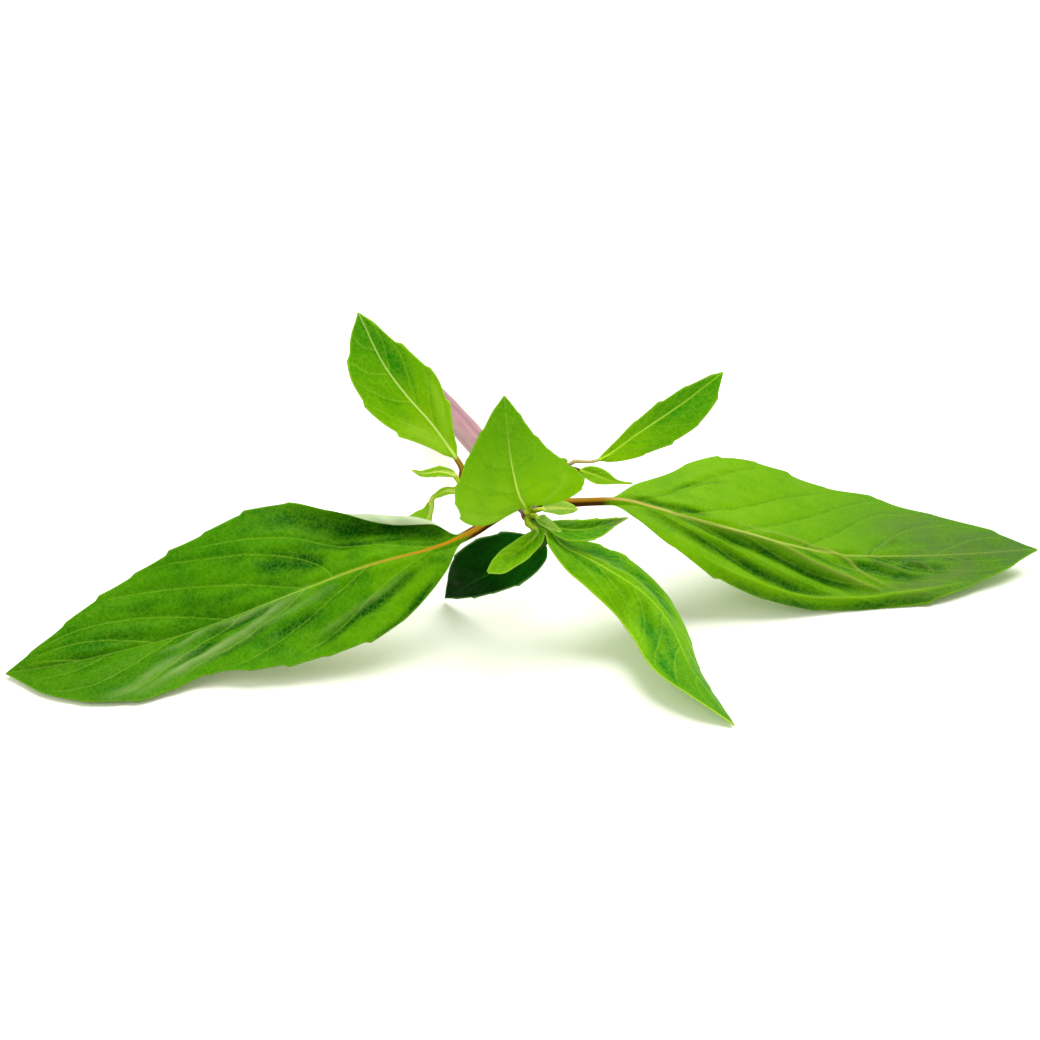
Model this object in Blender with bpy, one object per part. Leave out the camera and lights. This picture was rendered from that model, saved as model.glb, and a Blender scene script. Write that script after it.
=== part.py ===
"""A freshly cut sprig of Thai-type basil, lying on its own leaves.

The sprig is a ribbed purple stem whose growing tip rises a little above the
surface.  Two large leaves grow left and right from the main node.  A short
side shoot with small leaves of its own grows out of the angle above each of
them, and the tip carries crosswise pairs of younger leaves.

The plant is laid out in millimetres around its main node, then set down so
that its lowest point is at height zero and its footprint is centred.
"""

from dataclasses import dataclass

import bpy
import numpy as np

METRES_PER_MM = 0.001

STEM_WIDTH = 3.2                              # mm across the squarish main stem
STEM_TAPER = (0.94, 0.97, 1.0, 1.03, 0.47)    # cut end, internode, main node, growing tip
SHOOT_WIDTH = 1.2                             # mm across a side shoot's stem
SHOOT_TAPER = (1.0, 0.83, 0.75)
SQUARENESS = 0.12                             # how far the stem's flats are pulled in
BLADE_THICKNESS = 0.40                        # mm
FOLD_ONSET = 6.0                              # folds are full a sixth of the way along
MIDRIB_SHARPNESS = 6                          # how fast the midrib thins into the blade
SURFACE_ROUGHNESS = 0.45

HALF_BLADE_STEPS = 4                          # strips from the midrib to one margin
STEM_SIDES = 12
ROUTE_SAMPLES = 400


@dataclass(frozen=True)
class Leaf:
    """One leaf with its stalk, as it grew: a single thin body.

    The route runs from the stalk's foot to the tip.  Left and right are as
    seen looking along the route with the upper face towards the viewer.
    Every list is spread evenly from the blade's base to its tip.
    """

    name: str
    route: tuple              # points along stalk and midrib, in mm
    stalk: float              # share of the route that is bare stalk
    left: tuple               # width of the left half, mm
    right: tuple              # width of the right half, mm
    facing: tuple             # directions the upper face looks towards
    fold_left: tuple = (12.0, 12.0)      # degrees up from flat
    fold_right: tuple = (12.0, 12.0)
    curl_left: tuple = (0.0, 0.0)        # extra degrees at the margin
    curl_right: tuple = (0.0, 0.0)
    stalk_radius: float = 0.6
    stations: int = 16
    colour: tuple = (0.20, 0.46, 0.015)


@dataclass(frozen=True)
class Stem:
    """One stem piece: a squarish ribbed rod along a route."""

    name: str
    route: tuple
    widths: tuple             # width at even steps from the first point on
    stations: int = 14
    colour: tuple = (0.50, 0.31, 0.33)


GREEN_DEEP = (0.075, 0.29, 0.012)
GREEN_FRESH = (0.20, 0.46, 0.015)
GREEN_YOUNG = (0.33, 0.58, 0.03)
GREEN_SHADED = (0.012, 0.09, 0.006)
MAROON = (0.30, 0.06, 0.04)

STEMS = (
    Stem("main_stem",
         route=((-15.6, 64.5, -13.7), (-10.2, 42.0, -8.4), (-5.6, 22.5, -4.1),
                (-0.4, 2.0, 0.0), (0.0, -5.6, 1.2)),
         widths=tuple(STEM_WIDTH * share for share in STEM_TAPER), stations=20),
    Stem("left_shoot_stem",
         route=((-2.1, -1.0, 2.0), (-4.6, -2.4, 3.6), (-7.4, -3.2, 4.4)),
         widths=tuple(SHOOT_WIDTH * share for share in SHOOT_TAPER), stations=6,
         colour=MAROON),
    Stem("right_shoot_stem",
         route=((2.1, -0.4, 2.0), (3.6, -1.6, 4.4), (5.1, -2.0, 6.3)),
         widths=tuple(SHOOT_WIDTH * share for share in SHOOT_TAPER), stations=6,
         colour=MAROON),
)

LEAVES = (
    Leaf("left_large_leaf",
         route=((-2.7, -1.6, -0.2), (-9.0, -7.4, -1.5), (-21.0, -10.0, -4.0),
                (-33.0, -10.8, -8.9), (-44.0, -13.0, -12.2),
                (-56.0, -17.0, -13.4), (-65.2, -18.4, -14.5)),
         stalk=0.12, stalk_radius=0.85, stations=26, colour=GREEN_DEEP,
         left=(0.6, 7.0, 9.4, 10.4, 10.8, 10.6, 9.4, 6.4, 0.3),
         right=(0.6, 6.0, 10.6, 13.6, 11.8, 10.2, 8.0, 4.8, 0.3),
         facing=((0, -0.59, 0.81), (0, -0.47, 0.88), (0, -0.47, 0.88), (0, -0.44, 0.9)),
         fold_left=(-16, -9, 13, 18, 20), fold_right=(-28, -4, 20, 14, 9)),
    Leaf("right_large_leaf",
         route=((2.7, -0.2, 0.0), (12.6, 1.2, -0.5), (19.6, 0.8, -2.0),
                (27.4, 1.1, -4.7), (34.0, 2.2, -7.3), (41.0, 4.1, -9.8),
                (50.0, 6.9, -11.5), (57.0, 8.8, -12.3), (67.3, 9.5, -12.0)),
         stalk=0.16, stalk_radius=0.85, stations=26, colour=GREEN_FRESH,
         left=(0.6, 7.8, 11.0, 12.0, 11.6, 10.0, 7.6, 4.6, 0.3),
         right=(0.6, 3.2, 7.4, 8.8, 8.6, 8.2, 7.2, 4.4, 0.3),
         facing=((0, -0.34, 0.94), (0, -0.34, 0.94)),
         fold_left=(2, 2, -3, -6, -7), fold_right=(0, -22, -18, 4, 8)),
    Leaf("front_leaf",
         route=((1.6, -4.8, -0.4), (4.3, -8.6, -1.2), (9.9, -10.0, -4.0),
                (15.0, -10.6, -7.6), (18.6, -14.2, -10.2), (21.2, -21.4, -12.3),
                (25.2, -30.4, -14.7)),
         stalk=0.06, stalk_radius=0.6, stations=22, colour=GREEN_FRESH,
         left=(0.5, 3.8, 5.4, 5.8, 4.6, 2.6, 0.3),
         right=(0.5, 3.4, 4.4, 5.2, 4.8, 2.6, 0.3),
         facing=((0.4, -0.2, 0.9), (0.7, -0.1, 0.7), (0.6, 0.0, 0.8)),
         fold_left=(-6, -8, -10), fold_right=(-20, -40, 0)),
    Leaf("upright_leaf",
         route=((0.0, -6.0, 2.4), (-1.0, -10.0, 6.3), (-1.9, -13.2, 12.2),
                (-2.5, -14.2, 17.6), (-2.8, -14.0, 22.0)),
         stalk=0.04, stalk_radius=0.6, colour=GREEN_YOUNG,
         left=(1.0, 7.0, 8.0, 6.2, 3.4, 0.3),
         right=(1.0, 7.0, 7.6, 5.6, 3.2, 0.3),
         facing=((0, -1.0, 0.5), (0, -1.0, 0.3), (0, -1.0, 0.2))),
    Leaf("shaded_leaf",
         route=((0.8, -2.8, -2.0), (2.2, -4.2, -3.6), (-2.2, -3.8, -6.8),
                (-6.4, -2.6, -9.8), (-10.6, 0.9, -14.4)),
         stalk=0.14, stalk_radius=0.5, colour=GREEN_SHADED,
         left=(1.2, 3.8, 4.0, 2.8, 0.3), right=(1.2, 4.4, 5.0, 3.8, 0.3),
         facing=((0, -1.0, 0.5), (0, -1.0, 0.5))),
    Leaf("young_left_leaf",
         route=((0.2, -6.7, 0.6), (1.2, -9.6, 0.7), (-0.9, -13.0, 0.3),
                (-2.8, -15.0, -0.1), (-4.9, -16.2, -1.2)),
         stalk=0.15, stalk_radius=0.4, stations=12, colour=GREEN_YOUNG,
         left=(0.4, 1.5, 1.9, 1.6, 0.6), right=(0.4, 1.5, 1.9, 1.6, 0.6),
         facing=((0, -0.7, 0.7), (0, -0.7, 0.7))),
    Leaf("young_right_leaf",
         route=((1.5, -6.2, 0.8), (4.4, -7.4, 0.6), (7.9, -7.6, 0.7),
                (12.7, -5.6, 0.8)),
         stalk=0.10, stalk_radius=0.4, stations=12, colour=GREEN_FRESH,
         left=(0.4, 1.6, 1.6, 0.3), right=(0.4, 1.6, 1.6, 0.3),
         facing=((0, -0.7, 0.7), (0, -0.7, 0.7))),
    Leaf("bud_leaf_right",
         route=((1.5, -6.4, 2.4), (3.4, -6.4, 2.7), (6.4, -6.0, 2.2)),
         stalk=0.08, stalk_radius=0.3, stations=9, colour=GREEN_YOUNG,
         left=(0.3, 0.9, 0.9, 0.3), right=(0.3, 0.9, 0.9, 0.3),
         facing=((0, -0.7, 0.7), (0, -0.7, 0.7))),
    Leaf("bud_leaf_front",
         route=((1.1, -7.5, 2.0), (2.2, -9.0, 1.9), (4.2, -10.2, 1.3)),
         stalk=0.08, stalk_radius=0.3, stations=9, colour=GREEN_YOUNG,
         left=(0.3, 0.9, 0.9, 0.3), right=(0.3, 0.9, 0.9, 0.3),
         facing=((0, -0.7, 0.7), (0, -0.7, 0.7))),
    Leaf("upper_left_leaf",
         route=((-8.2, -3.0, 5.4), (-8.2, -3.0, 6.4), (-9.0, -3.0, 8.0),
                (-11.9, -2.5, 12.4), (-15.3, -2.0, 16.5), (-18.2, -1.0, 20.6),
                (-21.0, 0.2, 26.6)),
         stalk=0.12, stalk_radius=0.45, colour=GREEN_FRESH,
         left=(0.4, 4.0, 4.9, 4.5, 3.0, 0.3), right=(0.4, 3.6, 4.7, 4.2, 2.4, 0.3),
         facing=((0.2, -1.0, 0.4), (0.2, -1.0, 0.4))),
    Leaf("hanging_left_leaf",
         route=((-8.2, -2.6, 3.5), (-10.3, -2.0, 2.7), (-12.0, -1.0, 1.2),
                (-12.4, 0.6, -1.6), (-13.4, 2.2, -5.0), (-14.8, 3.2, -8.5)),
         stalk=0.36, stalk_radius=0.45, stations=14, colour=GREEN_YOUNG,
         left=(0.4, 0.7, 1.4, 1.0, 0.3), right=(0.4, 2.2, 2.8, 1.8, 0.3),
         facing=((0, -1.0, 0.4), (0, -1.0, 0.4))),
    Leaf("curled_left_leaf",
         route=((-8.4, -4.1, 4.9), (-9.4, -4.4, 6.4), (-11.0, -5.2, 7.2),
                (-13.0, -6.0, 7.3), (-14.4, -6.5, 8.0)),
         stalk=0.20, stalk_radius=0.35, stations=12, colour=GREEN_YOUNG,
         left=(0.3, 0.9, 0.9, 0.3), right=(0.3, 0.8, 0.8, 0.3),
         facing=((0, -0.8, 0.6), (0, -0.8, 0.6))),
    Leaf("bud_leaf_left",
         route=((-8.7, -4.2, 3.8), (-10.2, -4.8, 4.2), (-11.8, -5.0, 3.4)),
         stalk=0.12, stalk_radius=0.25, stations=8, colour=GREEN_YOUNG,
         left=(0.3, 0.5, 0.5, 0.3), right=(0.3, 0.5, 0.5, 0.3),
         facing=((0, -0.8, 0.6), (0, -0.8, 0.6))),
    Leaf("upper_right_leaf",
         route=((6.0, -1.8, 7.0), (8.8, -2.0, 7.2), (14.0, 0.0, 9.5),
                (19.8, 2.0, 12.8), (24.8, 4.0, 16.6)),
         stalk=0.14, stalk_radius=0.3, colour=GREEN_FRESH,
         left=(0.3, 1.6, 2.3, 2.0, 0.3), right=(0.3, 2.2, 2.9, 2.6, 0.3),
         facing=((0, -1.0, 0.5), (0, -1.0, 0.5))),
    Leaf("lower_right_leaf",
         route=((6.0, -2.8, 6.2), (7.7, -3.4, 6.1), (9.4, -4.2, 5.8),
                (11.2, -5.0, 5.6), (13.2, -6.0, 5.9)),
         stalk=0.10, stalk_radius=0.3, stations=12, colour=GREEN_FRESH,
         left=(0.3, 1.2, 1.5, 0.8, 0.3), right=(0.3, 1.2, 1.4, 0.7, 0.3),
         facing=((0, -0.8, 0.6), (0, -0.8, 0.6))),
    Leaf("back_right_leaf",
         route=((4.6, -0.8, 6.2), (3.0, 0.8, 5.4), (0.8, 2.4, 5.2), (-1.8, 3.6, 4.8)),
         stalk=0.12, stalk_radius=0.3, stations=12, colour=GREEN_FRESH,
         left=(0.3, 1.6, 1.7, 0.3), right=(0.3, 1.6, 1.7, 0.3),
         facing=((0.2, -0.5, 0.8), (0.0, -0.5, 0.8))),
    Leaf("bud_leaf_top",
         route=((5.2, -2.6, 7.2), (5.0, -3.2, 7.9), (4.6, -3.6, 8.6)),
         stalk=0.12, stalk_radius=0.25, stations=8, colour=GREEN_YOUNG,
         left=(0.3, 0.6, 0.5, 0.3), right=(0.3, 0.6, 0.5, 0.3),
         facing=((0, -1.0, 0.2), (0, -1.0, 0.2))),
)


def smooth_values(values, places):
    """Values of a smooth curve through evenly spread entries, at shares 0 to 1."""
    values = np.array(values, dtype=float)
    values = values.reshape(len(values), -1)
    slopes = np.gradient(values, axis=0)
    scaled = np.clip(places, 0.0, 1.0) * (len(values) - 1)
    first = np.minimum(scaled.astype(int), len(values) - 2)
    t = (scaled - first)[:, None]
    return ((2 * t**3 - 3 * t**2 + 1) * values[first]
            + (t**3 - 2 * t**2 + t) * slopes[first]
            + (3 * t**2 - 2 * t**3) * values[first + 1]
            + (t**3 - t**2) * slopes[first + 1])


def smooth_route(points, count):
    """Points at even distances along a smooth curve, first to last."""
    dense = smooth_values(points, np.linspace(0.0, 1.0, ROUTE_SAMPLES))
    steps = np.linalg.norm(np.diff(dense, axis=0), axis=1)
    lengths = np.concatenate([[0.0], np.cumsum(steps)])
    even = np.linspace(0.0, lengths[-1], count)
    return np.column_stack([np.interp(even, lengths, column) for column in dense.T])


def unit(vectors):
    """The same directions with length one."""
    return vectors / np.linalg.norm(vectors, axis=-1, keepdims=True)


def leaf_sections(leaf):
    """Rings of points around the leaf, from the stalk's foot to the tip."""
    route = smooth_route(leaf.route, leaf.stations)
    along = unit(np.gradient(route, axis=0))
    blade = (np.linspace(0.0, 1.0, leaf.stations) - leaf.stalk) / (1.0 - leaf.stalk)
    onset = np.clip(blade * FOLD_ONSET, 0.0, 1.0)[:, None]
    facing = smooth_values(leaf.facing, blade)
    normal = unit(facing - along * np.sum(facing * along, axis=1, keepdims=True))
    side = np.cross(normal, along)
    stalk_depth = 2.0 * leaf.stalk_radius * np.clip(1.0 - blade, 0.0, 1.0)[:, None]
    upper = {}
    lower = {}
    for sign, widths, folds, curls in ((1, leaf.left, leaf.fold_left, leaf.curl_left),
                                       (-1, leaf.right, leaf.fold_right, leaf.curl_right)):
        width = smooth_values(widths, blade)
        width = np.where(blade[:, None] > 0.0, width, leaf.stalk_radius)
        fold = np.radians(smooth_values(folds, blade)) * onset
        curl = np.radians(smooth_values(curls, blade)) * onset
        point = route.copy()
        for strip in range(HALF_BLADE_STEPS + 1):
            across = strip / HALF_BLADE_STEPS
            angle = fold + curl * across**2
            outward = sign * side * np.cos(angle) + normal * np.sin(angle)
            up = normal * np.cos(angle) - sign * side * np.sin(angle)
            if across > 0.0:
                point = point + outward * width / HALF_BLADE_STEPS
            rounding = np.where(blade[:, None] > 0.0, (1.0 - across) ** MIDRIB_SHARPNESS,
                                np.sqrt(1.0 - across**2))
            depth = np.maximum(stalk_depth * rounding, BLADE_THICKNESS)
            upper[sign * strip] = point + up * BLADE_THICKNESS / 2
            lower[sign * strip] = point - up * (depth - BLADE_THICKNESS / 2)
    across_order = range(HALF_BLADE_STEPS, -HALF_BLADE_STEPS - 1, -1)
    row = [upper[strip] for strip in across_order]
    row += [lower[strip] for strip in reversed(across_order)]
    return np.stack(row, axis=1)


def stem_sections(stem):
    """Squarish rings with rounded corners along a stem."""
    route = smooth_route(stem.route, stem.stations)
    along = unit(np.gradient(route, axis=0))
    side = unit(np.cross((0.0, 0.0, 1.0), along))
    up = np.cross(along, side)
    width = smooth_values(stem.widths, np.linspace(0.0, 1.0, stem.stations))
    ring = []
    for corner in range(STEM_SIDES):
        angle = 2.0 * np.pi * (corner + 0.5) / STEM_SIDES
        radius = width / 2 * (1.0 - SQUARENESS * np.cos(4.0 * angle))
        ring.append(route + radius * (side * np.cos(angle) + up * np.sin(angle)))
    return np.stack(ring, axis=1)


def solid_from_rings(name, rings, colour, two_rows):
    """One closed mesh object from rings of equal length, capped at both ends."""
    count = len(rings[0])
    points = [tuple(point) for ring in rings for point in ring]
    faces = []
    for ring in range(len(rings) - 1):
        for corner in range(count):
            following = (corner + 1) % count
            low = ring * count
            high = low + count
            faces.append((low + corner, low + following, high + following, high + corner))
    last = (len(rings) - 1) * count
    if two_rows:
        row = count // 2
        for corner in range(row - 1):
            opposite = count - 1 - corner
            faces.append((corner, opposite, opposite - 1, corner + 1))
            faces.append((last + corner, last + corner + 1, last + opposite - 1, last + opposite))
    else:
        faces.append(tuple(reversed(range(count))))
        faces.append(tuple(range(last, last + count)))
    mesh = bpy.data.meshes.new(name)
    mesh.from_pydata(points, [], faces)
    mesh.materials.append(plain_material(name, colour))
    body = bpy.data.objects.new(name, mesh)
    bpy.context.scene.collection.objects.link(body)
    return body


def plain_material(name, colour):
    """A plain matt finish of one colour."""
    material = bpy.data.materials.new(name + "_finish")
    material.use_nodes = True
    shader = material.node_tree.nodes["Principled BSDF"]
    shader.inputs["Base Color"].default_value = (*colour, 1.0)
    shader.inputs["Roughness"].default_value = SURFACE_ROUGHNESS
    shader.inputs["Metallic"].default_value = 0.0
    return material


def set_down(bodies):
    """Scale to metres, centre the footprint and put the lowest point at zero."""
    points = np.array([vertex.co for body in bodies for vertex in body.data.vertices])
    low = points.min(axis=0)
    high = points.max(axis=0)
    base = np.array([(low[0] + high[0]) / 2, (low[1] + high[1]) / 2, low[2]])
    for body in bodies:
        for vertex in body.data.vertices:
            vertex.co = (np.array(vertex.co) - base) * METRES_PER_MM


def main():
    """Builds every stem and leaf and sets the sprig down."""
    for old in list(bpy.data.objects):
        bpy.data.objects.remove(old)
    bodies = [solid_from_rings(stem.name, stem_sections(stem), stem.colour, two_rows=False)
              for stem in STEMS]
    bodies += [solid_from_rings(leaf.name, leaf_sections(leaf), leaf.colour, two_rows=True)
               for leaf in LEAVES]
    set_down(bodies)


main()
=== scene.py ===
"""Looks of a freshly cut basil sprig lying on its leaves.

Every stem and leaf of the frame is replaced by a finely modelled piece of its
own.  Leaf positions repeat the growth routes of the frame's source, laid out
in millimetres around the plant's main node; the node's own place is worked out
from the frame's box.
"""

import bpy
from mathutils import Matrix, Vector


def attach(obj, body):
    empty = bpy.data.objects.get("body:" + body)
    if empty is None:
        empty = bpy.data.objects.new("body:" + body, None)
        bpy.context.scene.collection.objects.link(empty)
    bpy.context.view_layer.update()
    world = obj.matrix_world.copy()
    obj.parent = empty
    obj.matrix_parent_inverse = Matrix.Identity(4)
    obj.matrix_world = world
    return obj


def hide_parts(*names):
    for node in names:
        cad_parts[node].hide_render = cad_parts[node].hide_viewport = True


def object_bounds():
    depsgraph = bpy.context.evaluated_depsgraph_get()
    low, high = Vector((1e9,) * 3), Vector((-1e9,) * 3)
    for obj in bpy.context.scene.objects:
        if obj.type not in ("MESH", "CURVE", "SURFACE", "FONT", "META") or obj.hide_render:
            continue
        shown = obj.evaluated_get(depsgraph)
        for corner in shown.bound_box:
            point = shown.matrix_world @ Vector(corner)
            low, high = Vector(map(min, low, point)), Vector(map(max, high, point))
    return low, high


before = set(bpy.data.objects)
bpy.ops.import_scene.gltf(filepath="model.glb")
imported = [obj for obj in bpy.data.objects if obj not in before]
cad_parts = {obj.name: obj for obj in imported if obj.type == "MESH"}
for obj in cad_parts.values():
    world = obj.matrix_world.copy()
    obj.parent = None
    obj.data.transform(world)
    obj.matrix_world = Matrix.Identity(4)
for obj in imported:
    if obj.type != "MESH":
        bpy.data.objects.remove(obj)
CAD_BOX = [list(corner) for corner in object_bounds()]

import logging
from dataclasses import dataclass, replace
from enum import Enum

import bpy
import numpy as np
from mathutils import Matrix, Vector

log = logging.getLogger("sprig")

MM = 0.001
BODY = "root"

# The main node seen from the lowest corner of the frame's box, in mm.
NODE_FROM_CORNER = (65.27, 30.55, 15.10)

ROUTE_SAMPLES = 600        # points that a route's length is measured with
TRAIL_POINTS = 20          # points along a fold's or patch's line
THINNEST = 0.04            # least half width of a blade, mm
FOOT_ROWS = 8              # rows between a stalk's foot and the start of its route
FOOT_SHARE = 0.05          # length of that stretch as a share of the blade

# Rings that close a stem's end: size against the last ring, and rise in radii.
CUT_END = ((0.97, 0.06), (0.90, 0.08), (0.70, 0.02), (0.45, -0.12), (0.15, -0.18))
ROUND_END = ((0.92, 0.10), (0.70, 0.28), (0.40, 0.40), (0.12, 0.45))


def in_frame(points: np.ndarray) -> np.ndarray:
    """Moves points from around the main node, in mm, into the frame, in metres."""
    return (points + np.array(NODE_FROM_CORNER)) * MM + np.array(CAD_BOX[0])


# ---------------------------------------------------------------- curves


def smooth_values(values: tuple, places: np.ndarray) -> np.ndarray:
    """Reads a smooth curve through evenly spread entries.

    Args:
        values: Numbers or vectors, evenly spread over the shares 0 to 1.
        places: Shares to read the curve at.

    Returns:
        One row for each place.
    """
    entries = np.array(values, dtype=float)
    entries = entries.reshape(len(entries), -1)
    slopes = np.gradient(entries, axis=0)
    scaled = np.clip(places, 0.0, 1.0) * (len(entries) - 1)
    first = np.minimum(scaled.astype(int), len(entries) - 2)
    t = (scaled - first)[:, None]
    return ((2 * t**3 - 3 * t**2 + 1) * entries[first]
            + (t**3 - 2 * t**2 + t) * slopes[first]
            + (3 * t**2 - 2 * t**3) * entries[first + 1]
            + (t**3 - t**2) * slopes[first + 1])


def smooth_route(points: tuple, count: int) -> tuple[np.ndarray, float]:
    """Walks a smooth curve through the points in even steps.

    Args:
        points: Points of the route, in mm.
        count: How many places to return.

    Returns:
        The places, first to last, and the curve's length.
    """
    dense = smooth_values(points, np.linspace(0.0, 1.0, ROUTE_SAMPLES))
    steps = np.linalg.norm(np.diff(dense, axis=0), axis=1)
    lengths = np.concatenate([[0.0], np.cumsum(steps)])
    even = np.linspace(0.0, lengths[-1], count)
    return np.column_stack([np.interp(even, lengths, column) for column in dense.T]), lengths[-1]


def unit(vectors: np.ndarray) -> np.ndarray:
    """Scales vectors to length one."""
    return vectors / np.linalg.norm(vectors, axis=-1, keepdims=True)


def ease(low: float, high: float, value: np.ndarray) -> np.ndarray:
    """Rises smoothly from 0 at low to 1 at high."""
    share = np.clip((value - low) / (high - low), 0.0, 1.0)
    return share * share * (3.0 - 2.0 * share)


def bell(distance: np.ndarray, width: float) -> np.ndarray:
    """Falls off from 1 like a bell over the given width."""
    return np.exp(-(distance / width) ** 2)


def screen(code: str) -> tuple[float, float, float]:
    """Turns a colour as written for a screen into linear values.

    Args:
        code: Six hexadecimal digits, red, green and blue.

    Returns:
        Linear red, green and blue.
    """
    parts = [int(code[start:start + 2], 16) / 255 for start in (0, 2, 4)]
    return tuple(p / 12.92 if p <= 0.04045 else ((p + 0.055) / 1.055) ** 2.4 for p in parts)


# ---------------------------------------------------------------- shaders


class Wire:
    """One socket, or a plain number, that shader maths is written on."""

    def __init__(self, graph: "Graph", socket: object) -> None:
        """Keeps the graph that new nodes go to and the socket."""
        self.graph = graph
        self.socket = socket

    def maths(self, operation: str, *values: object, clamp: bool = False) -> "Wire":
        """Adds a Math node.

        Args:
            operation: The node's operation.
            values: Its inputs in order.
            clamp: Whether the result is kept between 0 and 1.

        Returns:
            The node's result.
        """
        return self.graph.node("ShaderNodeMath", {"operation": operation, "use_clamp": clamp},
                               dict(enumerate(values)))

    def __add__(self, other: object) -> "Wire":
        """Adds."""
        return self.maths("ADD", self, other)

    def __radd__(self, other: object) -> "Wire":
        """Adds, the other way round."""
        return self.maths("ADD", other, self)

    def __sub__(self, other: object) -> "Wire":
        """Subtracts."""
        return self.maths("SUBTRACT", self, other)

    def __rsub__(self, other: object) -> "Wire":
        """Subtracts from the other value."""
        return self.maths("SUBTRACT", other, self)

    def __mul__(self, other: object) -> "Wire":
        """Multiplies."""
        return self.maths("MULTIPLY", self, other)

    def __rmul__(self, other: object) -> "Wire":
        """Multiplies, the other way round."""
        return self.maths("MULTIPLY", other, self)

    def size(self) -> "Wire":
        """Drops the sign."""
        return self.maths("ABSOLUTE", self)

    def held(self) -> "Wire":
        """Keeps the value between 0 and 1."""
        return self.maths("ADD", self, 0.0, clamp=True)

    def between(self, low: float, high: float) -> "Wire":
        """Rises smoothly from 0 at low to 1 at high."""
        return self.graph.node("ShaderNodeMapRange", {"interpolation_type": "SMOOTHSTEP"},
                               {"Value": self, "From Min": low, "From Max": high})


class Graph:
    """A material's node tree, filled through one node method."""

    def __init__(self, name: str) -> None:
        """Starts an empty material.

        Args:
            name: The material's name.
        """
        self.material = bpy.data.materials.new(name)
        self.material.use_nodes = True
        self.tree = self.material.node_tree
        self.tree.nodes.clear()

    def node(self, kind: str, settings: dict | None = None, sockets: dict | None = None,
             output: object = 0) -> Wire:
        """Adds any node.

        Args:
            kind: The node's type.
            settings: Its settings, set before its sockets; "stops" fills a colour ramp.
            sockets: Values or links of its sockets, by name or place.
            output: Name or place of the output that is returned.

        Returns:
            The chosen output.
        """
        made = self.tree.nodes.new(kind)
        for key, value in (settings or {}).items():
            if key == "stops":
                self.fill_ramp(made.color_ramp, value)
            else:
                setattr(made, key, value)
        for key, value in (sockets or {}).items():
            if isinstance(value, Wire):
                self.tree.links.new(value.socket, made.inputs[key])
            else:
                made.inputs[key].default_value = value
        return Wire(self, made.outputs[output] if made.outputs else None)

    def fill_ramp(self, ramp: bpy.types.ColorRamp, stops: tuple) -> None:
        """Sets a ramp's stops.

        Args:
            ramp: The ramp.
            stops: Pairs of place and colour.
        """
        while len(ramp.elements) < len(stops):
            ramp.elements.new(1.0)
        for element, (place, colour) in zip(ramp.elements, stops):
            element.position = place
            element.color = (*colour, 1.0)

    def blend(self, share: object, first: object, second: object) -> Wire:
        """Mixes two colours.

        Args:
            share: How much of the second, 0 to 1.
            first: A colour or a link.
            second: A colour or a link.

        Returns:
            The mixed colour.
        """
        colours = [c if isinstance(c, Wire) else (*c, 1.0) for c in (first, second)]
        return self.node("ShaderNodeMix", {"data_type": "RGBA"},
                         {0: share, 6: colours[0], 7: colours[1]}, output=2)

    def mask(self, name: str) -> Wire:
        """Reads a number that the mesh carries at each point."""
        return self.node("ShaderNodeAttribute", {"attribute_name": name}, output="Fac")

    def place(self) -> Wire:
        """Reads where a point lies on its piece, in mm along, across and through."""
        return self.node("ShaderNodeAttribute", {"attribute_name": "place"}, output="Vector")

    def noise(self, place: Wire, scale: float, detail: float = 3.0,
              stretch: tuple = (1, 1, 1)) -> Wire:
        """Adds soft noise.

        Args:
            place: Coordinates in mm.
            scale: Lumps per mm.
            detail: Octaves.
            stretch: Scale along each coordinate.

        Returns:
            Noise between about 0.3 and 0.7.
        """
        spread = self.node("ShaderNodeMapping", {}, {"Vector": place, "Scale": stretch})
        return self.node("ShaderNodeTexNoise", {}, {"Vector": spread, "Scale": scale, "Detail": detail})

    def finish(self, surface: Wire) -> bpy.types.Material:
        """Joins the surface to the output and returns the material."""
        self.node("ShaderNodeOutputMaterial", {}, {"Surface": surface})
        return self.material


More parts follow.
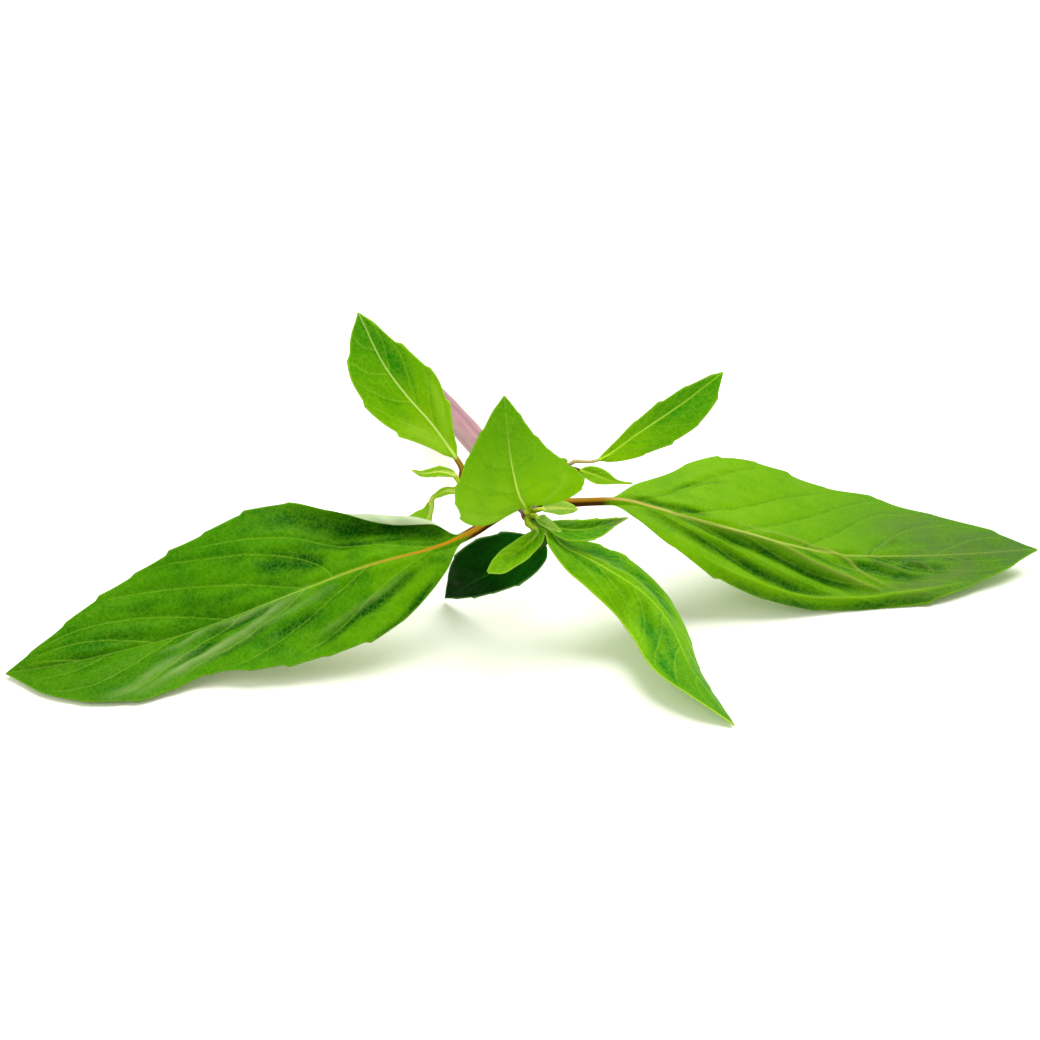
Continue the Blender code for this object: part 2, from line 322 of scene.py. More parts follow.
class LeafPattern:
    """What a leaf's colours are mixed by: masks from its mesh, clouds and veins."""

    def __init__(self, graph: Graph) -> None:
        """Adds the nodes that every colour shares.

        Args:
            graph: The material's graph.
        """
        self.graph = graph
        place = graph.place()
        self.along, self.under = graph.mask("along"), graph.mask("under")
        self.across = graph.node("ShaderNodeSeparateXYZ", {}, {"Vector": place}, output="Y").size()
        broad = graph.noise(place, 0.13, 2.0)
        self.cloud = graph.noise(place, 0.45, 3.0, stretch=(0.6, 1.0, 1.0))
        self.fine = graph.noise(place, 1.6, 4.0)
        self.grain = graph.noise(place, 7.0, 3.0)
        self.clouds = (broad.between(0.40, 0.66) * 0.65 + self.cloud.between(0.45, 0.68) * 0.55).held()
        self.vein, beside = self.draw_veins()
        self.net = self.draw_network(place)
        # Painted shade: along the dark folds and crease lines, and beside the veins.
        self.shade = (graph.mask("dark") * (0.65 + 0.5 * self.cloud.between(0.25, 0.65))
                      + beside * 0.30).held()
        # Painted sheen on the raised folds and pale patches.
        self.painted_sheen = (graph.mask("pale") * (0.45 + 0.5 * self.cloud.between(0.35, 0.65)
                                            + 0.25 * self.fine)).held()

    def draw_veins(self) -> tuple[Wire, Wire]:
        """Draws the side veins from the vein count that the mesh carries.

        Returns:
            The veins themselves and the shade along one side of them.
        """
        g = self.graph
        number, gap, veined = g.mask("vein_number"), g.mask("vein_gap"), g.mask("veined")
        off = number - number.maths("FLOOR", number + 0.5)
        distance = off * gap
        line = 1.0 - distance.size().between(0.02, 0.17)
        shade = 1.0 - (distance + 0.30).size().between(0.05, 0.42)
        strength = veined * (0.25 + 1.3 * self.fine.between(0.3, 0.65)).held()
        return (line * strength).held(), (shade * strength).held()

    def draw_network(self, place: Wire) -> Wire:
        """Draws the fine net of the smallest veins.

        Args:
            place: Coordinates in mm.

        Returns:
            The net, 1 on a vein.
        """
        bent = self.graph.node("ShaderNodeVectorMath", {"operation": "ADD"},
                               {0: place, 1: self.fine * 0.8})
        cells = self.graph.node("ShaderNodeTexVoronoi", {"feature": "DISTANCE_TO_EDGE"},
                                {"Vector": bent, "Scale": 1.5}, output="Distance")
        return 1.0 - cells.between(0.0, 0.14)


@dataclass(frozen=True)
class LeafFinish:
    """Colours and gloss of one leaf's living tissue, with painted shade, sheen and highlights laid over
    them.
    """

    slot: str
    foot: str = "74b400"          # blade's colour near the stalk
    middle: str = "6cae00"
    tip: str = "5a9c02"
    deep: str = "2f7d02"          # broad darker clouds
    deep_share: float = 0.5       # shares say how strongly a colour shows, 0 to 1
    painted_shade_colour: str = "0a4f02"        # painted shade in folds and along the side veins
    vein: str = "a9d43a"
    vein_share: float = 0.45
    rib: str = "b9cf5a"
    rib_foot: str = "b77f14"      # midrib near the stalk
    rib_reach: float = 0.35       # how far the foot's colour runs along the blade
    rib_wide: float = 0.34        # half width of the drawn midrib, mm
    rib_thin: float = 0.10
    rib_hold: float = 0.55        # how strongly it still shows at the tip
    stalk: str = "946a0a"
    stalk_side: str = "3e1c06"
    rim: str = "b4dd3c"           # along the margin
    rim_share: float = 0.5
    under: str = "b7d98a"         # lower face
    painted_sheen: str = "74914a"         # painted greyish sheen on the highest folds
    purple: str = "7c7468"        # flush towards the tip
    purple_share: float = 0.0
    light_through: str = "86d000"
    thinness: float = 0.28        # how much light passes through, 0 to 1
    gloss: float = 0.11
    roughness: float = 0.42

    def material(self, name: str, stalk_radius: float) -> bpy.types.Material:
        """Builds the leaf's material.

        Args:
            name: Name of the leaf.
            stalk_radius: Radius of its stalk, mm.

        Returns:
            The material.
        """
        g = Graph(name + "_tissue")
        pattern = LeafPattern(g)
        rib = self.draw_rib(pattern)
        rib_colour = g.blend(pattern.along.between(0.0, self.rib_reach), screen(self.rib_foot),
                             screen(self.rib))
        colour = g.blend(pattern.under, self.upper_colour(pattern, rib, rib_colour),
                         self.lower_colour(pattern, rib, rib_colour))
        on_stalk = 1.0 - pattern.along.between(-0.03, 0.015)
        colour = g.blend(on_stalk, colour, self.stalk_colour(pattern, stalk_radius))
        roughness = (self.roughness - 0.09 + 0.18 * pattern.fine + 0.10 * pattern.vein
                     + 0.25 * pattern.under - 0.10 * pattern.painted_sheen).held()
        height = pattern.fine * 0.30 + pattern.grain * 0.14 + pattern.net * 0.10 - pattern.vein * 0.35
        bump = g.node("ShaderNodeBump", {}, {"Strength": 0.7, "Distance": 0.14 * MM, "Height": height})
        skin = g.node("ShaderNodeBsdfPrincipled", {}, {
            "Base Color": colour, "Roughness": roughness, "Normal": bump,
            "Specular IOR Level": self.gloss, "IOR": 1.42,
            "Specular Tint": (0.85, 1.0, 0.4, 1.0)})
        glow = g.node("ShaderNodeBsdfTranslucent", {},
                      {"Color": (*screen(self.light_through), 1.0), "Normal": bump})
        amount = (self.thinness * (1.0 - 0.7 * rib) * (1.0 - 0.5 * pattern.shade)
                  * (1.0 - on_stalk)).held()
        return g.finish(g.node("ShaderNodeMixShader", {}, {0: amount, 1: skin, 2: glow}))

    def upper_colour(self, pattern: LeafPattern, rib: Wire, rib_colour: Wire) -> Wire:
        """Lays the upper face's colours over each other.

        Args:
            pattern: The leaf's pattern.
            rib: The midrib, 1 on it.
            rib_colour: The midrib's colour.

        Returns:
            The colour.
        """
        g = pattern.graph
        colour = g.node("ShaderNodeValToRGB", {"stops": (
            (0.0, screen(self.foot)), (0.5, screen(self.middle)), (1.0, screen(self.tip)))},
            {"Fac": pattern.along})
        purple = (pattern.along.between(0.60, 1.0) * self.purple_share
                  * pattern.cloud.between(0.35, 0.62)).held()
        # Painted shade goes into the folds and beside the veins, painted sheen onto the raised folds.
        for share, code in ((pattern.clouds * self.deep_share, self.deep),
                            (pattern.fine.between(0.48, 0.70) * 0.24, self.deep),
                            (pattern.shade, self.painted_shade_colour), (pattern.net * 0.15, self.vein),
                            (purple, self.purple), (pattern.painted_sheen, self.painted_sheen),
                            (pattern.vein * self.vein_share, self.vein)):
            colour = g.blend(share, colour, screen(code))
        colour = g.blend(g.mask("ridge").held(), colour, rib_colour)
        colour = g.blend(rib, colour, rib_colour)
        rim = (1.0 - g.mask("edge").between(0.05, 0.22 + 0.1 * self.rim_share)) * self.rim_share
        # The rim colour shows along the margin, and as painted highlights along the light lines.
        return g.blend((rim + g.mask("light")).held(), colour, screen(self.rim))

    def lower_colour(self, pattern: LeafPattern, rib: Wire, rib_colour: Wire) -> Wire:
        """Lays the paler lower face's colours over each other.

        Args:
            pattern: The leaf's pattern.
            rib: The midrib, 1 on it.
            rib_colour: The midrib's colour.

        Returns:
            The colour.
        """
        colour = pattern.graph.blend(pattern.clouds * 0.35, screen(self.under), screen(self.middle))
        colour = pattern.graph.blend(pattern.vein * 0.6, colour, screen(self.rim))
        return pattern.graph.blend(rib, colour, rib_colour)

    def stalk_colour(self, pattern: LeafPattern, stalk_radius: float) -> Wire:
        """Colours the stalk, darker on its sides and below.

        Args:
            pattern: The leaf's pattern.
            stalk_radius: The stalk's radius, mm.

        Returns:
            The colour.
        """
        side = pattern.across.between(0.42 * stalk_radius, 0.9 * stalk_radius)
        flank = (side + pattern.under * 0.55 + pattern.fine.between(0.5, 0.7) * 0.25).held()
        return pattern.graph.blend(flank, screen(self.stalk), screen(self.stalk_side))

    def draw_rib(self, pattern: LeafPattern) -> Wire:
        """Draws the midrib, wide at the stalk and thin at the tip.

        Args:
            pattern: The leaf's pattern.

        Returns:
            The midrib, 1 on it.
        """
        slim = self.rib_wide - (self.rib_wide - self.rib_thin) * pattern.along.between(0.0, 0.8)
        line = 1.0 - (pattern.across - slim * 0.55).between(0.0, self.rib_thin + 0.05)
        return (line * (1.0 - (1.0 - self.rib_hold) * pattern.along.between(0.25, 0.9))).held()


@dataclass(frozen=True)
class StemFinish:
    """Colours of a stem's skin and of its cut end."""

    slot: str
    skin: str = "925b5e"
    groove: str = "84525e"
    streak: str = "a07070"
    young: str = "5a1a10"         # towards the growing tip
    young_from: float = 0.93
    pith: str = "dfe3b4"
    pith_fleck: str = "b9c67c"
    roughness: float = 0.5

    def material(self, name: str) -> bpy.types.Material:
        """Builds the stem's material.

        Args:
            name: Name of the stem.

        Returns:
            The material.
        """
        g = Graph(name + "_skin")
        place = g.place()
        along, groove, cut = g.mask("along"), g.mask("groove"), g.mask("cut")
        fibres = g.noise(place, 2.2, 4.0, stretch=(0.06, 1.0, 1.0))
        blotch = g.noise(place, 0.35, 3.0, stretch=(0.35, 1.0, 1.0))
        grain = g.noise(place, 7.0, 2.0)
        colour = g.blend(fibres.between(0.35, 0.65), screen(self.skin), screen(self.streak))
        colour = g.blend((groove * 0.75).held(), colour, screen(self.groove))
        colour = g.blend(blotch.between(0.5, 0.7) * 0.45, colour, screen(self.groove))
        colour = g.blend(along.between(self.young_from - 0.06, self.young_from + 0.02), colour,
                         screen(self.young))
        ring = cut.between(0.0, 1.0)
        flesh = g.blend(grain.between(0.35, 0.65) * 0.5, screen(self.pith), screen(self.pith_fleck))
        colour = g.blend(ring, colour, flesh)
        height = fibres * 0.6 + grain * 0.25
        bump = g.node("ShaderNodeBump", {}, {"Strength": 0.6, "Distance": 0.15 * MM, "Height": height})
        return g.finish(g.node("ShaderNodeBsdfPrincipled", {}, {
            "Base Color": colour, "Roughness": (self.roughness + 0.15 * fibres).held(),
            "Normal": bump, "Sheen Weight": 0.25, "Sheen Roughness": 0.4,
            "Subsurface Weight": 0.12, "Subsurface Radius": (0.001, 0.0006, 0.0005),
            "Subsurface Scale": 1.0}))


# ---------------------------------------------------------------- meshes


class Piece:
    """Shared ways of turning rows of points into a riding object."""

    @staticmethod
    def mesh_object(name: str, points: np.ndarray, faces: list, masks: dict,
                    place: np.ndarray) -> bpy.types.Object:
        """Makes a smooth mesh object at its place in the frame.

        Args:
            name: The object's name.
            points: Points in mm, around the main node.
            faces: Lists of point numbers.
            masks: Numbers at each point, by name.
            place: Where each point lies on its piece, in mm.

        Returns:
            The object.
        """
        mesh = bpy.data.meshes.new(name)
        mesh.from_pydata(in_frame(points).tolist(), [], faces)
        for key, numbers in masks.items():
            layer = mesh.attributes.new(key, "FLOAT", "POINT")
            layer.data.foreach_set("value", np.ascontiguousarray(numbers, dtype=np.float32).ravel())
        layer = mesh.attributes.new("place", "FLOAT_VECTOR", "POINT")
        layer.data.foreach_set("vector", np.ascontiguousarray(place, dtype=np.float32).ravel())
        mesh.shade_smooth()
        mesh.update()
        made = bpy.data.objects.new(name, mesh)
        bpy.context.scene.collection.objects.link(made)
        return made

    @staticmethod
    def ring_faces(rings: int, count: int) -> list:
        """Joins each ring of points to the next.

        Args:
            rings: How many rings.
            count: Points in each.

        Returns:
            The four-sided faces.
        """
        return [(row * count + c, row * count + (c + 1) % count,
                 (row + 1) * count + (c + 1) % count, (row + 1) * count + c)
                for row in range(rings - 1) for c in range(count)]

    @staticmethod
    def settle(made: bpy.types.Object, node: str, slot: str, material: bpy.types.Material) -> None:
        """Dresses an object and puts it in its frame node's place.

        Args:
            made: The object.
            node: The frame's node that it stands for.
            slot: The record's material slot; not used.
            material: Its finish.
        """
        made.data.materials.append(material)
        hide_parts(node)
        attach(made, BODY)
        log.info("%s: %d points", made.name, len(made.data.vertices))


@dataclass(frozen=True)
class Line:
    """A fold, crease or patch along a smooth line on a blade, with painted shade, sheen or highlight
    along it.
    """

    points: tuple             # share along, share across with the left half positive
    width: float              # mm
    depth: float = 0.0        # mm below the blade, raised when negative
    dark: float = 0.0         # painted shade: how far it takes the shade colour
    pale: float = 0.0         # painted sheen: how far it takes the sheen colour
    ridge: float = 0.0        # how far it takes the midrib's colour
    light: float = 0.0        # painted highlight: how far it takes the rim's colour

    def strength(self, along: np.ndarray, across: np.ndarray, length: float,
                 widths: object) -> np.ndarray:
        """Measures how close points lie to the line.

        Args:
            along: Distance along the blade, mm.
            across: Distance across it, mm.
            length: The blade's length, mm.
            widths: Gives the half widths of one side at shares of the blade.

        Returns:
            1 on the line, falling to 0 beside it.
        """
        trail = smooth_values(self.points, np.linspace(0.0, 1.0, TRAIL_POINTS))
        half = np.where(trail[:, 1] >= 0.0, widths(1, trail[:, 0]), widths(-1, trail[:, 0]))
        trail = np.column_stack([trail[:, 0] * length, trail[:, 1] * half])
        reach = np.zeros(across.shape)
        steps = np.diff(trail, axis=0)
        for number, (start, step) in enumerate(zip(trail[:-1], steps)):
            share = ((along - start[0]) * step[0] + (across - start[1]) * step[1]) / (step @ step)
            share = np.clip(share, 0.0, 1.0)
            near = np.hypot(along - start[0] - share * step[0], across - start[1] - share * step[1])
            done = (number + share) / len(steps)
            fade = ease(-0.15, 0.30, done) * (1.0 - ease(0.70, 1.15, done))
            reach = np.maximum(reach, bell(near, self.width) * fade)
        return reach


def even_veins(count: int, first: float = 0.03, last: float = 0.76, reach: float = 0.34,
               bend: float = 1.2) -> tuple:
    """Spreads side veins evenly along a half.

    Args:
        count: How many veins.
        first: Share along the blade where the first leaves the midrib.
        last: Share where the last does.
        reach: How far forward each has run at the margin.
        bend: More than 1 makes them turn forward late.

    Returns:
        A start, an end and a bend for each vein.
    """
    starts = np.linspace(first, last, count)
    return tuple((float(s), float(s) + reach * (1.0 - 0.35 * float(s)), bend) for s in starts)


def towards(x: float, y: float, z: float) -> tuple:
    """Turns a leaf's upper face one way from base to tip."""
    return ((x, y, z), (x, y, z))


@dataclass(frozen=True)
class Leaf:
    """One leaf with its stalk.

    Left and right are as seen looking along the route with the upper face
    towards the viewer.  Lists are spread evenly from blade base to tip.
    """

    name: str
    finish: LeafFinish
    route: tuple              # stalk and midrib, mm
    stalk: float              # share of the route that is bare stalk
    left: tuple               # half widths, mm
    facing: tuple             # where the upper face looks
    right: tuple = ()         # the right half's widths, where they differ
    fold_left: tuple = (12.0, 12.0)     # degrees that each half rises from the midrib
    fold_right: tuple = (12.0, 12.0)
    roll_right: tuple = (0.0, 0.0)      # degrees that the right half's outer strip rolls over
    roll_from: float = 0.72             # share across where that strip starts
    stalk_radius: float = 0.6           # mm
    root: tuple = ()                    # where the stalk joins its stem, mm
    veins_left: tuple = even_veins(5)   # start, end and bend of each side vein
    veins_right: tuple = even_veins(5, first=0.06)
    quilt: float = 0.22       # how far the tissue rises between the veins, mm
    tooth: float = 0.45       # mm
    tooth_gap: float = 4.5    # mm
    tooth_shift_left: float = 0.3       # moves the teeth along, in gaps
    tooth_shift_right: float = 0.7
    tooth_from: tuple = (0.10, 0.10)    # shares of the blade, left and right
    fold_onset: float = 0.14            # share of the blade over which folds set in
    wave: float = 0.35        # margin's rise and fall, mm
    waves: float = 3.0
    thickness: float = 0.26   # mm
    lines: tuple = ()         # folds, creases and patches, with painted shade, sheen and highlights
    stations: int = 110       # rows of points along the route
    columns: int = 22         # steps across each half
    seed: float = 0.0         # moves teeth, waves and patterns, so that leaves differ

    def frames(self) -> dict:
        """Works out the midrib, its directions and the blade shares.

        Returns:
            Arrays with one row for each station.
        """
        route, length = smooth_route(self.route, self.stations)
        blade = (np.linspace(0.0, 1.0, self.stations) - self.stalk) / (1.0 - self.stalk)
        if self.root:
            lead = np.linspace(np.array(self.root), route[0], FOOT_ROWS, endpoint=False)
            route = np.vstack([lead, route])
            lead = np.linspace(blade[0] - FOOT_SHARE, blade[0], FOOT_ROWS, endpoint=False)
            blade = np.concatenate([lead, blade])
        along = unit(np.gradient(route, axis=0))
        facing = smooth_values(self.facing, blade)
        normal = unit(facing - along * np.sum(facing * along, axis=1, keepdims=True))
        return {"route": route, "along": along, "normal": normal, "blade": blade[:, None],
                "side": np.cross(normal, along), "length": length * (1.0 - self.stalk)}

    def rib_radius(self, blade: np.ndarray) -> np.ndarray:
        """Gives the stalk's and midrib's radius along the leaf, mm."""
        taper = np.clip(1.0 - blade, 0.0, 1.0)
        foot = 1.0 + 0.30 * bell(blade + self.stalk / (1.0 - self.stalk), 0.05)
        on_blade = self.stalk_radius * (0.18 + 0.82 * taper**1.6) * (1.0 - 0.85 * ease(0.94, 1.0, blade))
        return np.where(blade > 0.0, on_blade, self.stalk_radius * foot)

    def half_width(self, sign: int, blade: np.ndarray) -> np.ndarray:
        """Gives the half width of one side at shares of the blade, mm."""
        widths = self.right if sign < 0 and self.right else self.left
        return np.maximum(smooth_values(widths, blade).ravel(), THINNEST)

    def half(self, sign: int, frames: dict) -> dict:
        """Builds one half of the blade, midrib to margin.

        Args:
            sign: 1 for the left half, -1 for the right.
            frames: What frames() works out.

        Returns:
            Upper and lower points and the masks, one row for each station.
        """
        blade = frames["blade"]
        # Columns stand closer together towards the midrib and the margin.
        across = 1.0 - (1.0 - np.linspace(0.0, 1.0, self.columns + 1)[None, :] ** 1.4) ** 1.25
        radius = self.rib_radius(blade)
        width = self.half_width(sign, blade.ravel())[:, None]
        width = np.where(blade > 0.0, np.hypot(width * ease(-0.04, 0.05, blade), radius), radius)
        margin = self.margin(sign, blade, frames["length"])
        angle = self.lean(sign, blade, across, width)
        middle = (angle[:, 1:] + angle[:, :-1]) / 2
        step = np.diff(across, axis=1) * width
        zero = np.zeros((len(blade), 1))
        out = np.hstack([zero, np.cumsum(np.cos(middle) * step, axis=1)])
        rise = np.hstack([zero, np.cumsum(np.sin(middle) * step, axis=1)])
        out = out + np.cos(angle) * margin * across**10
        rise = rise + np.sin(angle) * margin * across**10

        masks = self.masks(sign, blade, across, width, frames["length"])
        relief = masks.pop("relief")
        side = sign * frames["side"][:, None, :]
        normal = frames["normal"][:, None, :]
        cos, sin = np.cos(angle)[..., None], np.sin(angle)[..., None]
        up = normal * cos - side * sin
        centre = frames["route"][:, None, :] + side * out[..., None] + normal * rise[..., None]

        above, below = self.depths(blade, across, width, masks.pop("raised"))
        upper = centre + up * (relief + above)[..., None]
        lower = centre + up * (relief - below)[..., None]
        lower[:, -1] = upper[:, -1]
        place = np.stack([np.broadcast_to(blade * frames["length"], out.shape), sign * across * width,
                          np.full(out.shape, self.seed * 7.0)], axis=-1)
        masks["along"] = np.broadcast_to(blade, out.shape)
        return {"upper": upper, "lower": lower, "masks": masks, "place": place}

    def lean(self, sign: int, blade: np.ndarray, across: np.ndarray,
             width: np.ndarray) -> np.ndarray:
        """Works out how steeply a half rises at each point: fold, roll and margin's wave.

        Args:
            sign: 1 for the left half, -1 for the right.
            blade: Share along the blade for each station.
            across: Share across the half for each column.
            width: Half width at each station, mm.

        Returns:
            Angles in radians.
        """
        folds, rolls = ((self.fold_left, (0.0, 0.0)) if sign > 0
                        else (self.fold_right, self.roll_right))
        flat = blade.ravel()
        onset = ease(0.0, self.fold_onset, blade)
        swell = self.wave * np.sin(2 * np.pi * (self.waves * blade + 0.31 * self.seed + 0.2 * sign))
        steepen = np.degrees(np.arctan2(swell, np.maximum(width, 1.0))) * onset
        return np.radians(smooth_values(folds, flat) * onset
                          + smooth_values(rolls, flat) * ease(self.roll_from, 1.0, across)
                          + steepen * across**2)

    def depths(self, blade: np.ndarray, across: np.ndarray, width: np.ndarray,
               raised: np.ndarray) -> tuple[np.ndarray, np.ndarray]:
        """Works out how thick the leaf is: round stalk, thin blade, midrib and veins below.

        Args:
            blade: Share along the blade for each station.
            across: Share across the half for each column.
            width: Half width at each station, mm.
            raised: How far the side veins stand out below, 0 to 1.

        Returns:
            Distances of the upper and of the lower face from the middle, mm.
        """
        radius = self.rib_radius(blade)
        distance = across * width / radius
        round_part = np.sqrt(np.clip(1.0 - distance**2, 0.0, 1.0))
        soft_part = np.clip(1.0 - (distance / 1.7) ** 2, 0.0, 1.0) ** 2
        stalk_share = 1.0 - ease(-0.01, 0.10, blade)
        blade_share = 1.0 - stalk_share
        sheet = self.thickness / 2 * np.sqrt(1.0 - across**8) * ease(-0.01, 0.05, blade)
        above = sheet + radius * (stalk_share * round_part - blade_share * 0.30 * soft_part)
        below = sheet + radius * (stalk_share * round_part + blade_share * 0.95 * soft_part)
        return above, below + 0.09 * raised

    def margin(self, sign: int, blade: np.ndarray, length: float) -> np.ndarray:
        """Gives how far the toothed margin stands out along the blade, mm."""
        shift = self.tooth_shift_left if sign > 0 else self.tooth_shift_right
        phase = blade * length / self.tooth_gap + shift
        part = phase - np.floor(phase)
        saw = np.where(part < 0.88, (part / 0.88) ** 2.2, (1.0 - part) / 0.12)
        size = self.tooth * (0.8 + 0.35 * np.sin(3.1 * np.floor(phase) + self.seed))
        first = self.tooth_from[0 if sign > 0 else 1]
        return saw * size * ease(first, first + 0.10, blade) * (1.0 - ease(0.90, 0.98, blade))

    def vein_count(self, sign: int, blade: np.ndarray, across: np.ndarray) -> np.ndarray:
        """Counts side veins from base to tip; a vein runs where the count is whole.

        Args:
            sign: 1 for the left half, -1 for the right.
            blade: Share along the blade for each station.
            across: Share across the half for each column.

        Returns:
            The count at each point.
        """
        veins = np.array(self.veins_left if sign > 0 else self.veins_right)
        ahead = veins[-1] + (veins[-1] - veins[-2]) * np.arange(1, 4)[:, None]
        behind = veins[0] - (veins[1] - veins[0]) * np.arange(3, 0, -1)[:, None]
        ahead[:, 2], behind[:, 2] = veins[-1, 2], veins[0, 2]
        veins = np.vstack([behind, veins, ahead])
        wobble = 0.05 * np.sin(7.0 * across + self.seed + 1.3 * sign)
        count = np.zeros((len(blade), across.shape[1]))
        for column, share in enumerate(across[0]):
            where = veins[:, 0] + (veins[:, 1] - veins[:, 0]) * share ** veins[:, 2]
            where = np.maximum.accumulate(where + 1e-4 * np.arange(len(where)))
            count[:, column] = np.interp(blade[:, 0], where, np.arange(-3, len(veins) - 3))
        return count + wobble * ease(0.0, 0.3, across)

    def masks(self, sign: int, blade: np.ndarray, across: np.ndarray, width: np.ndarray,
              length: float) -> dict:
        """Works out veins, the quilting between them, and folds and patches.

        Args:
            sign: 1 for the left half, -1 for the right.
            blade: Share along the blade for each station.
            across: Share across the half for each column.
            width: Half width at each station, mm.
            length: The blade's length, mm.

        Returns:
            Masks by name, with the surface's relief in mm under "relief".
        """
        count = self.vein_count(sign, blade, across)
        x = blade * length + 0.0 * across
        y = across * width
        gap = np.gradient(x, axis=0)
        by_row = np.gradient(count, axis=0) / np.maximum(gap, 1e-6)
        by_column = np.gradient(count, axis=1) / np.maximum(np.gradient(y, axis=1), 1e-6)
        gap = 1.0 / np.maximum(np.hypot(by_row, by_column), 0.05)
        off = np.abs(count - np.round(count)) * gap
        fade = ease(0.0, 0.07, blade) * (1.0 - ease(0.88, 0.98, blade + 0.0 * across))
        fade = fade * (1.0 - ease(0.82, 0.98, across)) * (1.0 - 0.35 * across)
        fade = fade * ease(-0.6, -0.2, count)
        loose = fade * ease(0.15, 0.9, y)
        relief = self.quilt * (1.0 - bell(off, 0.95)) * loose
        pucker = (np.sin(2.0 * y + 0.8 * x + self.seed) * np.sin(1.2 * y - 0.95 * x + 2.0 * self.seed))
        relief = relief + 0.35 * self.quilt * pucker * loose
        # Shares of painted shade, painted sheen, midrib colour and painted highlight that the lines
        # give.
        tints = {key: np.zeros_like(relief) for key in ("dark", "pale", "ridge", "light")}
        for line in self.lines:
            strength = line.strength(x, sign * y, length, self.half_width) * ease(-0.01, 0.04, blade)
            relief = relief - line.depth * strength
            for key, tint in tints.items():
                np.maximum(tint, getattr(line, key) * strength, out=tint)
        return {"vein_number": count, "vein_gap": gap, "veined": fade, "relief": relief, **tints,
                "raised": bell(off, 0.22) * loose, "edge": (1.0 - across) * width}

    def build(self) -> bpy.types.Object:
        """Makes the leaf's closed mesh.

        Returns:
            The object, not yet dressed.
        """
        frames = self.frames()
        halves = {sign: self.half(sign, frames) for sign in (1, -1)}

        def rows(pick: object) -> np.ndarray:
            """Joins left margin to right margin."""
            left, right = pick(halves[1]), pick(halves[-1])
            return np.concatenate([left[:, ::-1], right[:, 1:]], axis=1)

        def around(upper: np.ndarray, lower: np.ndarray) -> np.ndarray:
            """Runs over the top and back below."""
            return np.concatenate([upper, lower[:, 1:-1][:, ::-1]], axis=1)

        top = rows(lambda h: h["upper"])
        bottom = rows(lambda h: h["lower"])
        ring = around(top, bottom)
        masks = {}
        for key in halves[1]["masks"]:
            layer = rows(lambda h: h["masks"][key])
            masks[key] = around(layer, layer)
        masks["under"] = around(np.zeros(top.shape[:2]), np.ones(top.shape[:2]))
        flat = rows(lambda h: h["place"])
        place = around(flat, flat)
        count, across = ring.shape[1], top.shape[1]
        faces = Piece.ring_faces(len(ring), count)
        for start, flip in ((0, False), ((len(ring) - 1) * count, True)):
            faces += self.cap(start, count, across, flip)
        return Piece.mesh_object(self.name + "_visual", ring.reshape(-1, 3), faces,
                                 {key: m.reshape(-1) for key, m in masks.items()},
                                 place.reshape(-1, 3))

    @staticmethod
    def cap(start: int, count: int, across: int, flip: bool) -> list:
        """Closes one end with strips between the upper and the lower edge.

        Args:
            start: Number of the ring's first point.
            count: Points in the ring.
            across: Points on its upper side.
            flip: Whether the faces look the other way.

        Returns:
            The faces.
        """
        faces = []
        for c in range(across - 1):
            corners = [start + c, start + (count - c) % count, start + count - c - 1, start + c + 1]
            corners = list(dict.fromkeys(corners))
            faces.append(tuple(reversed(corners)) if flip else tuple(corners))
        return faces

    def grow(self) -> bpy.types.Object:
        """Builds the leaf, dresses it and puts it in its place."""
        made = self.build()
        Piece.settle(made, self.name, self.finish.slot,
                     self.finish.material(self.name, self.stalk_radius))
        return made


